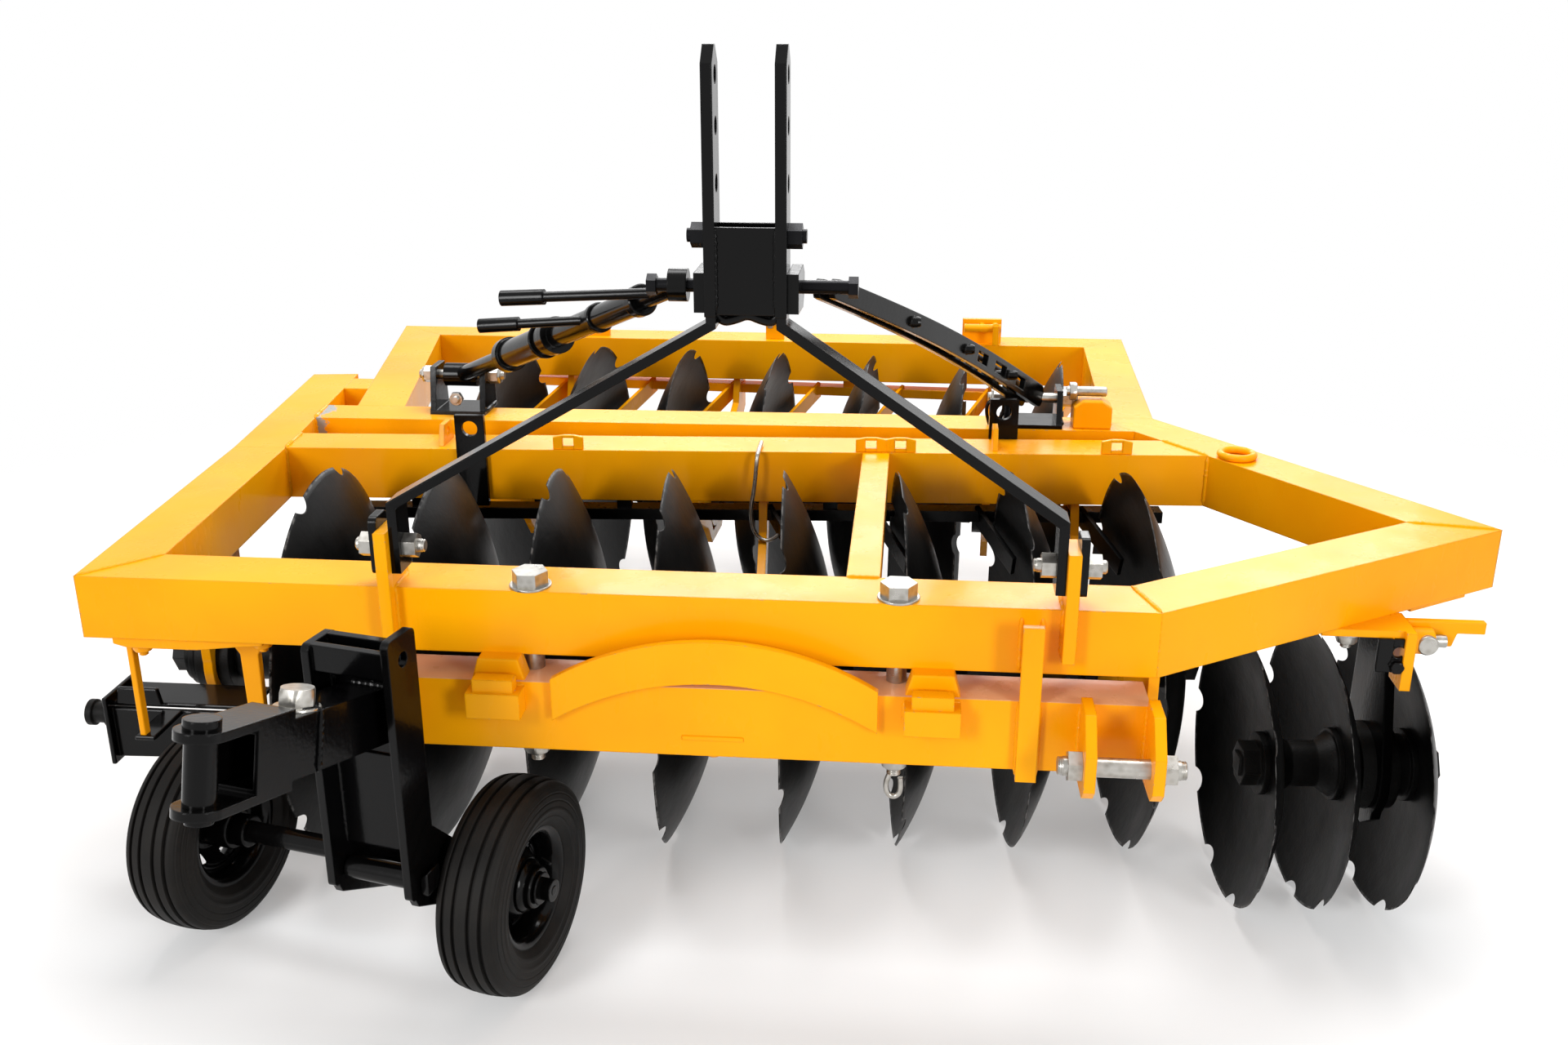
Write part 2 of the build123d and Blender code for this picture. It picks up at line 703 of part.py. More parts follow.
with BuildPart() as ear_flats:
    for side in (-1, 1):
        plate_x(
            EAR_X[side] + side * (EAR_T / 2 + 6), 12,
            (
                (EAR_BOLT_Y - 24, EAR_BOLT_Z - 40), (EAR_BOLT_Y + 24, EAR_BOLT_Z - 40),
                (EAR_BOLT_Y + 24, EAR_BOLT_Z + 48), (EAR_BOLT_Y - 24, EAR_BOLT_Z + 48),
            ),
            round_r=10, holes=((EAR_BOLT_Y, EAR_BOLT_Z, BOLT / 2 + FIT),),
        )

with BuildPart() as ear_bolts:
    for side in (-1, 1):
        inner = EAR_X[side] - side * (EAR_T / 2 + BRACE_T)
        outer = EAR_X[side] + side * (EAR_T / 2 + 12)
        low, high = min(inner, outer), max(inner, outer)
        cross_pin(low, high, EAR_BOLT_Y, EAR_BOLT_Z, BOLT / 2, 19)

# ---- mast -----------------------------------------------------------------
def mast_plate(side):
    half = MAST_W / 2
    plate_x(
        MAST_CENTRE + side * MAST_X, MAST_T,
        (
            (MAST_Y - half, MAST_BEND), (MAST_Y + half, MAST_BEND), (MAST_Y + half, MAST_TOP - 24),
            (MAST_Y + half - 24, MAST_TOP), (MAST_Y - half + 24, MAST_TOP), (MAST_Y - half, MAST_TOP - 24),
        ),
        holes=[(MAST_Y, z, TOP_LINK_R) for z in MAST_HOLES] + [(MAST_Y, MAST_PIN_Z, BOLT / 2 + FIT)],
    )


def front_brace(side):
    """A bent flat from the foot of a mast plate down to the inside of its ear."""
    foot = EAR_X[side] - side * (EAR_T + BRACE_T) / 2
    ribbon(
        (
            (MAST_CENTRE + side * MAST_X, MAST_Y, MAST_BEND),
            (MAST_CENTRE + side * MAST_X, MAST_Y, MAST_BEND - 14),
            (foot, EAR_BOLT_Y, EAR_BOLT_Z + 68),
            (foot, EAR_BOLT_Y, EAR_BOLT_Z - 36),
        ),
        (MAST_W - 10, MAST_W - 14, 50, 50),
        BRACE_T,
    )
    with BuildSketch(Plane.YZ.offset(foot - 20)) as bore:
        with Locations((EAR_BOLT_Y, EAR_BOLT_Z)):
            Circle(BOLT / 2 + FIT)
    extrude(bore.sketch, amount=40, mode=Mode.SUBTRACT)


with BuildPart() as mast_plates:
    mast_plate(-1)
    mast_plate(1)

with BuildPart() as mast_box:
    x = MAST_X - MAST_T / 2
    box_between((MAST_CENTRE - x, MAST_Y - 24, 1014), (MAST_CENTRE + x, MAST_Y + 30, 1136))
    box_between((MAST_CENTRE - x, MAST_Y - 18, 1000), (MAST_CENTRE + x, MAST_Y + 24, 1150), Mode.SUBTRACT)

with BuildPart() as front_braces:
    front_brace(-1)
    front_brace(1)

hitch = {
    "hitch_beam": hitch_beam,
    "hitch_beam_plates": hitch_beam_plates,
    "hitch_clevises": hitch_clevises,
    "hitch_pins": hitch_pins,
    "frame_bolts": frame_bolts,
    "wing_plates": wing_plates,
    "wing_pin": wing_pin,
    "beam_tabs": beam_tabs,
    "gang_scrapers": gang_scrapers,
    "front_beam_ears": front_beam_ears,
    "ear_flats": ear_flats,
    "ear_bolts": ear_bolts,
    "mast_plates": mast_plates,
    "mast_box": mast_box,
    "front_braces": front_braces,
}

# ---- stays from the mast back to the middle cross beam --------------------
STAY_Y = 985  # pivot of each stay over the middle cross beam
STAY_Z = {STAY_LEFT_X: FRAME_TOP + 74, STAY_RIGHT_X: FRAME_TOP + 52}  # height of each pivot
STAY_TOP = (MAST_Y + 62, 1040)  # y, z where the stays meet the mast's rear lugs
STAY_PIN_R = 10
LUG_PIN = 82
BRACKET_HALF = 58


with BuildPart() as stay_brackets:
    for x in (STAY_LEFT_X, STAY_RIGHT_X):
        pivot = STAY_Z[x]
        box_between((x - BRACKET_HALF, STAY_Y - 50, FRAME_TOP), (x + BRACKET_HALF, STAY_Y + 42, FRAME_TOP + 8))
        for side in (-1, 1):
            plate_x(
                x + side * (BRACKET_HALF - 6), 12,
                (
                    (STAY_Y - 46, FRAME_TOP + 8), (STAY_Y + 40, FRAME_TOP + 8), (STAY_Y + 30, pivot + 22),
                    (STAY_Y - 30, pivot + 22),
                ),
                holes=((STAY_Y, pivot, STAY_PIN_R + FIT),),
            )

with BuildPart() as mast_rear_lugs:
    for side in (-1, 1):
        x = MAST_CENTRE + side * (MAST_X + MAST_T / 2 + 8)
        plate_x(
            x, 16,
            (
                (MAST_Y - 20, 1016), (MAST_Y + 66, 1010), (MAST_Y + 92, 1030), (MAST_Y + 92, 1056),
                (MAST_Y + 66, 1072), (MAST_Y - 20, 1072),
            ),
            holes=((STAY_TOP[0], STAY_TOP[1], STAY_PIN_R + FIT),),
        )

with BuildPart() as mast_pins:
    x = MAST_X + MAST_T / 2
    cross_pin(MAST_CENTRE - x, MAST_CENTRE + x, MAST_Y, MAST_PIN_Z, BOLT / 2, 18)
    for x in (STAY_LEFT_X, STAY_RIGHT_X):
        z = STAY_Z[x]
        cross_pin(x - BRACKET_HALF, x + BRACKET_HALF, STAY_Y, z, STAY_PIN_R, 18)
    for side in (-1, 1):
        inner = MAST_CENTRE + side * (MAST_X + MAST_T / 2)
        outer = MAST_CENTRE + side * (MAST_X + MAST_T / 2 + LUG_PIN)
        low, high = min(inner, outer), max(inner, outer)
        rod((low, *STAY_TOP), (high, *STAY_TOP), STAY_PIN_R)
        hexagon((outer, *STAY_TOP), (outer + side * 14, *STAY_TOP), 16)


def stay_bore(x, y, z):
    """The hole for a pin that lies along X."""
    with BuildSketch(Plane.YZ.offset(x - 80)) as bore:
        with Locations((y, z)):
            Circle(STAY_PIN_R + FIT)
    extrude(bore.sketch, amount=160, mode=Mode.SUBTRACT)


STAY_TOP_X = MAST_X + MAST_T / 2 + 50
left_top = Vector(MAST_CENTRE - STAY_TOP_X, *STAY_TOP)
left_foot = Vector(STAY_LEFT_X, STAY_Y, STAY_Z[STAY_LEFT_X])
left_run = (left_foot - left_top).normalized()
left_length = (left_foot - left_top).length
# start and end along the screw stay, radius
SCREW_STAY = ((0, 150, 15), (130, 520, 21), (510, 760, 27), (750, left_length, 16), (500, 522, 33), (748, 770, 33))
# crank handles: where each leaves the stay, the offset of its tip
HANDLES = ((70, (-250, 30, -18)), (330, (-200, 20, -18)))
with BuildPart() as left_stay:
    for start, end, r in SCREW_STAY:
        rod(tuple(left_top + left_run * start), tuple(left_top + left_run * end), r)
    rod((left_top.X - 14, *STAY_TOP), (left_top.X + 14, *STAY_TOP), 24)
    rod((left_foot.X - 34, left_foot.Y, left_foot.Z), (left_foot.X + 34, left_foot.Y, left_foot.Z), 24)
    for start, reach in HANDLES:
        root = left_top + left_run * start
        tip = root + Vector(*reach)
        way = (tip - root).normalized()
        rod(tuple(root), tuple(tip), 8)
        rod(tuple(tip - way * 70), tuple(tip), 12)
    stay_bore(*left_top)
    stay_bore(*left_foot)


def twin_bar(x_top, x_foot):
    """One flat bar of the right stay, standing on edge."""
    top, foot = Vector(x_top, *STAY_TOP), Vector(x_foot, STAY_Y, STAY_Z[STAY_RIGHT_X])
    run = (foot - top).normalized()
    with BuildSketch(Plane(origin=top - run * 20, x_dir=run.cross(Vector(0, 0, 1)), z_dir=run)) as bar:
        Rectangle(12, 38)
    extrude(bar.sketch, amount=(foot - top).length + 40)


with BuildPart() as right_stay:
    twin_bar(MAST_CENTRE + STAY_TOP_X - 11, STAY_RIGHT_X - 17)
    twin_bar(MAST_CENTRE + STAY_TOP_X + 11, STAY_RIGHT_X + 17)
    stay_bore(MAST_CENTRE + STAY_TOP_X, *STAY_TOP)
    stay_bore(STAY_RIGHT_X, STAY_Y, STAY_Z[STAY_RIGHT_X])

# ---- small pieces on the frame --------------------------------------------
# upright black flats on the front cross beam: x, low and high edge, the line whose right side they touch
LEVERS = (
    (-585, FRAME_LOW - 10, FRAME_TOP + 70, FRONT_CROSS),
    (430, FRAME_LOW + 10, FRAME_TOP + 80, shifted(*FRONT_CROSS, TUBE + 12)),
)
with BuildPart() as hook_levers:
    for x, low, high, line in LEVERS:
        run = Vector(line[1][0] - line[0][0], line[1][1] - line[0][1], 0).normalized()
        origin = Vector(x, height_on(line, x), 0)
        with BuildSketch(Plane(origin=origin, x_dir=run, z_dir=run.cross(Vector(0, 0, 1)))) as lever:
            with Locations((0, (low + high) / 2)):
                Rectangle(56, high - low)
            with Locations((0, high - 26)):
                Circle(15, mode=Mode.SUBTRACT)
        extrude(lever.sketch, amount=12)

# tabs on the rear beam: x, width, height; the last holds a T handle
REAR_TABS = ((-560, 70, 18), (-100, 46, 70), (420, 96, 60))
TAB_Y = 1730
with BuildPart() as rear_beam_brackets:
    for x, wide, high in REAR_TABS:
        with BuildSketch(Plane.XZ.offset(-TAB_Y)) as tab:
            with Locations((x, FRAME_TOP + high / 2)):
                Rectangle(wide, high)
        extrude(tab.sketch, amount=14)
    x, wide, high = REAR_TABS[-1]
    handle_z = FRAME_TOP + high - 16
    rod((x, TAB_Y - 44, handle_z), (x, TAB_Y + 26, handle_z), 8)
    rod((x - 45, TAB_Y - 44, handle_z), (x + 45, TAB_Y - 44, handle_z), 10)

RING_AT = Vector(862, 770, FRAME_TOP + 7)
with BuildPart() as lifting_ring:
    with BuildSketch(Plane(origin=RING_AT, x_dir=(1, 0, 0), z_dir=(0, -1, 0))):
        with Locations((30, 0)):
            Circle(7)
    revolve(axis=Axis(tuple(RING_AT), (0, 0, 1)))

# ---- cart at the left hitch pin -------------------------------------------
yaw = math.radians(CART_YAW)
cart_u = Vector(math.cos(yaw), -math.sin(yaw), 0)
cart_v = Vector(math.sin(yaw), math.cos(yaw), 0)
cart_base = Vector(CART_X, CART_Y, 0)


def cart_plane(u, v, z, kind="top"):
    """A plane of the cart's own frame: u along the axle, v to the rear, z up."""
    origin = cart_base + cart_u * u + cart_v * v + Vector(0, 0, z)
    if kind == "top":
        return Plane(origin=origin, x_dir=cart_u, z_dir=(0, 0, 1))
    if kind == "side":
        return Plane(origin=origin, x_dir=cart_v, z_dir=cart_u)
    return Plane(origin=origin, x_dir=cart_u, z_dir=-cart_v)


def cart_block(low, high, mode=Mode.ADD):
    """A block square to the cart, from its low to its high (u, v, z) corner."""
    with BuildSketch(cart_plane((low[0] + high[0]) / 2, (low[1] + high[1]) / 2, low[2])) as foot:
        Rectangle(high[0] - low[0], high[1] - low[1])
    extrude(foot.sketch, amount=high[2] - low[2], mode=mode)


UPRIGHT_LOW = 232
UPRIGHT_HIGH = (612, 632)
ARM_Z = 505
WHEEL_Z = WHEEL_R
axle_middle = cart_base + cart_v * AXLE_BACK + Vector(0, 0, WHEEL_Z)
AXLE_EYE_R = 32
TONGUE_X = -(CLEVIS_INNER + CLEVIS_OUTER) / 2
inner_u = (UPRIGHTS[0] + UPRIGHT_T / 2, UPRIGHTS[1] - UPRIGHT_T / 2)
# two uprights, the plates between them and the tongue that reaches back into the left clevis
with BuildPart() as cart_uprights:
    for u, top in zip(UPRIGHTS, UPRIGHT_HIGH):
        with BuildSketch(cart_plane(u - UPRIGHT_T / 2, 0, (UPRIGHT_LOW + top) / 2, "side")) as flat:
            RectangleRounded(UPRIGHT_W, top - UPRIGHT_LOW, 10)
            with Locations((0, (top - UPRIGHT_LOW) / 2 - 36)):
                Circle(11, mode=Mode.SUBTRACT)
        extrude(flat.sketch, amount=UPRIGHT_T)
        with BuildSketch(cart_plane(u - UPRIGHT_T / 2, 0, WHEEL_Z, "side")) as leg:
            with BuildLine():
                Polyline(
                    (-UPRIGHT_W / 2, UPRIGHT_LOW - WHEEL_Z + 20), (-UPRIGHT_W / 2 + 16, UPRIGHT_LOW - WHEEL_Z - 14),
                    (AXLE_BACK - 10, -AXLE_EYE_R), (AXLE_BACK + 10, AXLE_EYE_R),
                    (UPRIGHT_W / 2, UPRIGHT_LOW - WHEEL_Z + 90), close=True,
                )
            make_face()
            with Locations((AXLE_BACK, 0)):
                Circle(AXLE_EYE_R)
                Circle(AXLE_R + FIT, mode=Mode.SUBTRACT)
        extrude(leg.sketch, amount=UPRIGHT_T)

    cart_block((inner_u[0], 6, 290), (inner_u[1], 18, 440))
    cart_block((inner_u[0], -UPRIGHT_W / 2 + 6, 574), (inner_u[1], -UPRIGHT_W / 2 + 18, 612))
    plate_x(
        TONGUE_X, 24,
        (
            (PIN_Y - 62, PIN_Z - 33), (PIN_Y + 16, PIN_Z - 33), (PIN_Y + 30, PIN_Z - 13),
            (PIN_Y + 30, PIN_Z + 13), (PIN_Y + 16, PIN_Z + 33), (PIN_Y - 62, PIN_Z + 33),
        ),
        holes=((PIN_Y, PIN_Z, PIN_R + FIT),),
    )

middle_u = sum(UPRIGHTS) / 2


def arm_plane(ahead, kind="face"):
    """A plane of the arm's own frame, a distance ahead along it: it climbs towards the tow eye."""
    pitch = math.radians(ARM_PITCH)
    forward = -cart_v * math.cos(pitch) + Vector(0, 0, math.sin(pitch))
    up = cart_v * math.sin(pitch) + Vector(0, 0, math.cos(pitch))
    origin = cart_base + cart_u * middle_u + Vector(0, 0, ARM_Z) + forward * ahead
    if kind == "face":
        return Plane(origin=origin, x_dir=cart_u, z_dir=forward)
    return Plane(origin=origin, x_dir=cart_u, z_dir=up)


ARM_START, ARM_END = -14, ARM_LENGTH
TOW_AHEAD = ARM_END + 62
with BuildPart() as cart_arm:
    with BuildSketch(arm_plane(ARM_START)) as section:
        Rectangle(ARM_W, ARM_H)
        Rectangle(ARM_W - 2 * WALL, ARM_H - 2 * WALL, mode=Mode.SUBTRACT)
    extrude(section.sketch, amount=ARM_END - ARM_START)
    for low in (-ARM_H / 2 - 12, ARM_H / 2):
        plane = arm_plane(0, "top").offset(low)
        with BuildSketch(plane) as lip:
            with BuildLine():
                Polyline((-ARM_W / 2, -(ARM_END - 70)), (-ARM_W / 2, -TOW_AHEAD), (ARM_W / 2, -TOW_AHEAD),
                         (ARM_W / 2, -(ARM_END - 70)), close=True)
            make_face()
            with Locations((0, -TOW_AHEAD)):
                Circle(ARM_W / 2)
                Circle(17, mode=Mode.SUBTRACT)
        extrude(lip.sketch, amount=12)

# the tow pin between the lips, and the bolt on top of the arm
ARM_BOLT = 150
with BuildPart() as cart_tow_pin:
    base = arm_plane(0, "top")
    for low, high, r in ((-ARM_H / 2 - 22, ARM_H / 2 + 12, 16.7), (ARM_H / 2 + 12, ARM_H / 2 + 24, 22),
                         (-ARM_H / 2, ARM_H / 2, 20)):
        with BuildSketch(base.offset(low)) as pin:
            with Locations((0, -TOW_AHEAD)):
                Circle(r)
        extrude(pin.sketch, amount=high - low)

    for low, high, r in ((0, 4, 24), (4, 24, 20)):
        with BuildSketch(base.offset(ARM_H / 2 + low)) as head:
            with Locations((0, -ARM_BOLT)):
                Circle(r) if low == 0 else RegularPolygon(r, 6)
        extrude(head.sketch, amount=high - low)

with BuildPart() as cart_axle:
    with BuildSketch(cart_plane(-TRACK / 2 - 66, AXLE_BACK, WHEEL_Z, "side")) as tube_end:
        Circle(AXLE_R)
    extrude(tube_end.sketch, amount=TRACK + 132)

# wheel: a profile turned about the axle, from its inner edge outward
RIM_R = 94
HUB_R = 32


def turned(u, outline):
    """A ring turned about the cart's axle from an outline of (offset along the axle, radius) points."""
    axis = Axis(tuple(axle_middle), tuple(cart_u))
    origin = axle_middle + cart_u * u
    with BuildSketch(Plane(origin=origin, x_dir=cart_u, z_dir=cart_u.cross(Vector(0, 0, 1)))) as profile:
        with BuildLine():
            Polyline(*outline, close=True)
        make_face()
    revolve(profile.sketch, axis=axis)


def tyre(u):
    half = TYRE_W / 2
    turned(
        u,
        (
            (-half + 16, RIM_R), (-half + 4, RIM_R + 22), (-half, RIM_R + 46), (-half + 12, WHEEL_R - 8),
            (-half + 26, WHEEL_R), (half - 26, WHEEL_R), (half - 12, WHEEL_R - 8), (half, RIM_R + 46),
            (half - 4, RIM_R + 22), (half - 16, RIM_R),
        ),
    )


def rim(u, side):
    """A dished rim with its hub, hollow towards the outer side."""
    half = TYRE_W / 2 - 14
    turned(
        u,
        (
            (-half, RIM_R), (half, RIM_R), (half, RIM_R - 12), (half - 10, RIM_R - 16), (8, RIM_R - 16),
            (8, 60), (30, HUB_R + 10), (30, HUB_R), (half + 6, HUB_R), (half + 6, AXLE_R + FIT),
            (-half - 6, AXLE_R + FIT), (-half - 6, HUB_R), (-4, HUB_R), (-4, RIM_R - 16), (-half + 10, RIM_R - 16),
            (-half, RIM_R - 12),
        )
        if side > 0
        else (
            (-half, RIM_R), (half, RIM_R), (half, RIM_R - 12), (half - 10, RIM_R - 16), (4, RIM_R - 16),
            (4, HUB_R), (half + 6, HUB_R), (half + 6, AXLE_R + FIT), (-half - 6, AXLE_R + FIT),
            (-half - 6, HUB_R), (-30, HUB_R), (-30, HUB_R + 10), (-8, 60), (-8, RIM_R - 16),
            (-half + 10, RIM_R - 16), (-half, RIM_R - 12),
        ),
    )


with BuildPart() as left_tyre:
    tyre(-TRACK / 2)

with BuildPart() as right_tyre:
    tyre(TRACK / 2)

with BuildPart() as left_rim:
    rim(-TRACK / 2, -1)

with BuildPart() as right_rim:
    rim(TRACK / 2, 1)

# washers and nuts keep the wheels on the axle
with BuildPart() as axle_nuts:
    for side in (-1, 1):
        start = side * (TRACK / 2 + TYRE_W / 2 - 14 + 6 + 1)
        with BuildSketch(cart_plane(start, AXLE_BACK, WHEEL_Z, "side")) as nut:
            RegularPolygon(26, 6)
            Circle(AXLE_R + FIT, mode=Mode.SUBTRACT)
        extrude(nut.sketch, amount=side * 16)
        collar = side * (TRACK / 2 - TYRE_W / 2 + 14 - 6 - 1)
        with BuildSketch(cart_plane(collar, AXLE_BACK, WHEEL_Z, "side")) as ring:
            Circle(26)
            Circle(AXLE_R + FIT, mode=Mode.SUBTRACT)
        extrude(ring.sketch, amount=-side * 14)

rest = {
    "stay_brackets": stay_brackets,
    "mast_rear_lugs": mast_rear_lugs,
    "mast_pins": mast_pins,
    "left_stay": left_stay,
    "right_stay": right_stay,
    "hook_levers": hook_levers,
    "rear_beam_brackets": rear_beam_brackets,
    "lifting_ring": lifting_ring,
    "cart_uprights": cart_uprights,
    "cart_arm": cart_arm,
    "cart_tow_pin": cart_tow_pin,
    "cart_axle": cart_axle,
    "left_tyre": left_tyre,
    "right_tyre": right_tyre,
    "left_rim": left_rim,
    "right_rim": right_rim,
    "axle_nuts": axle_nuts,
}

pieces = {**frame, **gangs, **hitch, **rest}
boxes = [piece.part.bounding_box() for piece in pieces.values()]
middle_x = (min(box.min.X for box in boxes) + max(box.max.X for box in boxes)) / 2
middle_y = (min(box.min.Y for box in boxes) + max(box.max.Y for box in boxes)) / 2
ground = min(box.min.Z for box in boxes)
to_origin = Location((-middle_x, -middle_y, -ground))

os.makedirs("parts", exist_ok=True)
for name, piece in pieces.items():
    solid = piece.part.moved(to_origin)
    solid.label = name
    export_step(solid, f"parts/{name}.step")

shift = Vector(-middle_x, -middle_y, -ground)
joints = {
    "front_gang": gang_frame(FRONT_GANG),
    "rear_gang": gang_frame(REAR_GANG),
    "wing_gang": gang_frame(WING_GANG),
    "cart": (Vector(TONGUE_X, PIN_Y, PIN_Z), Vector(1, 0, 0)),
    "left_wheel": (axle_middle + cart_u * (-TRACK / 2), cart_u),
    "right_wheel": (axle_middle + cart_u * (TRACK / 2), cart_u),
}
for name, (point, direction) in joints.items():
    print("joint", name, *tuple(point + shift), *tuple(direction))
print("shift", *tuple(shift))
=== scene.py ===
import json
import math
import random

import bmesh
import bpy
from mathutils import Matrix, Vector


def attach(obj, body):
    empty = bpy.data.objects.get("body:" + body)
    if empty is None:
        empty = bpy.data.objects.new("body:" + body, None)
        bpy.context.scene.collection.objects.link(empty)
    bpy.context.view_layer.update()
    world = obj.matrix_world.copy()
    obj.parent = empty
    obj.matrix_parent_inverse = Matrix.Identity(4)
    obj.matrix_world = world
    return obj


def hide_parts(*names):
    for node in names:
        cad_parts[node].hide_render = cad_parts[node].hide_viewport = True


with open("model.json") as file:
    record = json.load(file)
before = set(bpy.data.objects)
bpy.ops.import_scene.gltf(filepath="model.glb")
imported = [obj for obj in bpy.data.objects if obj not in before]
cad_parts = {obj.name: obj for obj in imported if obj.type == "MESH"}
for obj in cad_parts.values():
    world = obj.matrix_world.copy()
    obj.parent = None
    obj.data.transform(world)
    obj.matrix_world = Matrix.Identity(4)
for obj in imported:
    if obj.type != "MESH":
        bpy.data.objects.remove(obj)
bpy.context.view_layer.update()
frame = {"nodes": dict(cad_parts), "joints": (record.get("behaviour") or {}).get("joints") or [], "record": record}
nodes = frame["nodes"]
rng = random.Random(7)

# the row's offset from the drawing's own origin, read from the top link hole
HOLE_DRAWN = Vector((0.073, 0.110, 1.337))
hole = next(m for m in frame["record"]["mounts"] if m["name"] == "top_link_hole_high")
OFFSET = Vector(hole["pos_m"]) - HOLE_DRAWN


def at(x, y, z):
    """A point given in the drawing's millimetres, in the row's metres."""
    return Vector((x, y, z)) / 1000 + OFFSET


# ---- materials ------------------------------------------------------------
class Nodes:
    """A short way to write a node material."""

    def __init__(self, name):
        self.material = bpy.data.materials.new(name)
        self.material.use_nodes = True
        self.tree = self.material.node_tree
        self.tree.nodes.clear()
        self.out = self.add("ShaderNodeOutputMaterial")
        self.shader = self.add("ShaderNodeBsdfPrincipled")
        self.link(self.shader, "BSDF", self.out, "Surface")
        self.coords = self.add("ShaderNodeTexCoord")

    def add(self, kind, **values):
        node = self.tree.nodes.new(kind)
        for key, value in values.items():
            setattr(node, key, value)
        return node

    def link(self, a, a_socket, b, b_socket):
        self.tree.links.new(a.outputs[a_socket], b.inputs[b_socket])

    def noise(self, scale, detail=3, rough=0.5, stretch=None):
        node = self.add("ShaderNodeTexNoise")
        node.inputs["Scale"].default_value = scale
        node.inputs["Detail"].default_value = detail
        node.inputs["Roughness"].default_value = rough
        if stretch:
            mapping = self.add("ShaderNodeMapping")
            mapping.inputs["Scale"].default_value = stretch
            self.link(self.coords, "Object", mapping, "Vector")
            self.link(mapping, "Vector", node, "Vector")
        else:
            self.link(self.coords, "Object", node, "Vector")
        return node

    def ramp(self, source, socket, stops):
        node = self.add("ShaderNodeValToRGB")
        band = node.color_ramp
        while len(band.elements) < len(stops):
            band.elements.new(0.5)
        for element, (place, colour) in zip(band.elements, stops):
            element.position = place
            element.color = (*colour, 1) if len(colour) == 3 else colour
        self.link(source, socket, node, "Fac")
        return node

    def mix(self, factor, factor_socket, a, b):
        """Mix two colours; a and b are colours or (node, socket) pairs."""
        node = self.add("ShaderNodeMix", data_type="RGBA")
        self.link(factor, factor_socket, node, "Factor")
        for key, value in (("A", a), ("B", b)):
            socket = next(s for s in node.inputs if s.name == key and s.type == "RGBA")
            if isinstance(value[0], bpy.types.Node):
                self.tree.links.new(value[0].outputs[value[1]], socket)
            else:
                socket.default_value = (*value, 1)
        return node, 2

    def math(self, operation, a, b=None, clamp=False):
        node = self.add("ShaderNodeMath", operation=operation, use_clamp=clamp)
        for i, value in enumerate((a, b)):
            if value is None:
                continue
            if isinstance(value, tuple):
                self.tree.links.new(value[0].outputs[value[1]], node.inputs[i])
            else:
                node.inputs[i].default_value = value
        return node

    def edges(self, radius, low, high):
        """1 along sharp edges, 0 on flat faces."""
        bevel = self.add("ShaderNodeBevel", samples=4)
        bevel.inputs["Radius"].default_value = radius
        geometry = self.add("ShaderNodeNewGeometry")
        dot = self.add("ShaderNodeVectorMath", operation="DOT_PRODUCT")
        self.link(bevel, "Normal", dot, 0)
        self.link(geometry, "Normal", dot, 1)
        return self.ramp(dot, "Value", ((low, (1, 1, 1)), (high, (0, 0, 0))))

    def surface(self, heights, radius):
        """Bump from several (node, socket, metres) heights, on edges rounded by radius."""
        last = None
        if radius:
            last = self.add("ShaderNodeBevel", samples=4)
            last.inputs["Radius"].default_value = radius
        for node, socket, metres in heights:
            bump = self.add("ShaderNodeBump")
            bump.inputs["Distance"].default_value = metres
            self.link(node, socket, bump, "Height")
            if last:
                self.link(last, "Normal", bump, "Normal")
            last = bump
        self.link(last, "Normal", self.shader, "Normal")


def enamel(name, colour, deep, bare, rough, coat, chip):
    """Sprayed gloss paint: slow tone changes, orange peel, and chips along the edges."""
    n = Nodes(name)
    slow = n.noise(2.6, 4, 0.55)
    tone = n.ramp(slow, "Fac", ((0.32, deep), (0.62, colour)))
    peel = n.noise(160, 2, 0.4)
    runs = n.noise(9, 5, 0.6, stretch=(1, 1, 0.35))
    fine = n.noise(85, 4, 0.6)
    edge = n.edges(0.004, 0.80, 0.95)
    bitten = n.ramp(fine, "Fac", ((chip, (0, 0, 0)), (chip + 0.05, (1, 1, 1))))
    worn = n.math("MULTIPLY", (edge, "Color"), (bitten, "Color"))
    colour_out = n.mix(worn, 0, (tone, "Color"), bare)
    n.tree.links.new(colour_out[0].outputs[colour_out[1]], n.shader.inputs["Base Color"])
    gloss = n.ramp(runs, "Fac", ((0.3, (rough * 0.8,) * 3), (0.75, (rough * 1.35,) * 3)))
    n.link(gloss, "Color", n.shader, "Roughness")
    n.shader.inputs["Specular IOR Level"].default_value = 0.11
    n.shader.inputs["Coat Weight"].default_value = coat
    n.shader.inputs["Coat Roughness"].default_value = 0.06
    n.surface(((peel, "Fac", 0.00012), (runs, "Fac", 0.0006)), 0.0035)
    return n


YELLOW = (0.95, 0.400, 0.0012)
YELLOW_DEEP = (0.90, 0.330, 0.0008)
PRIMER = (0.30, 0.27, 0.22)


def yellow_enamel():
    return enamel("yellow_enamel", YELLOW, YELLOW_DEEP, PRIMER, 0.28, 0.05, 0.62)


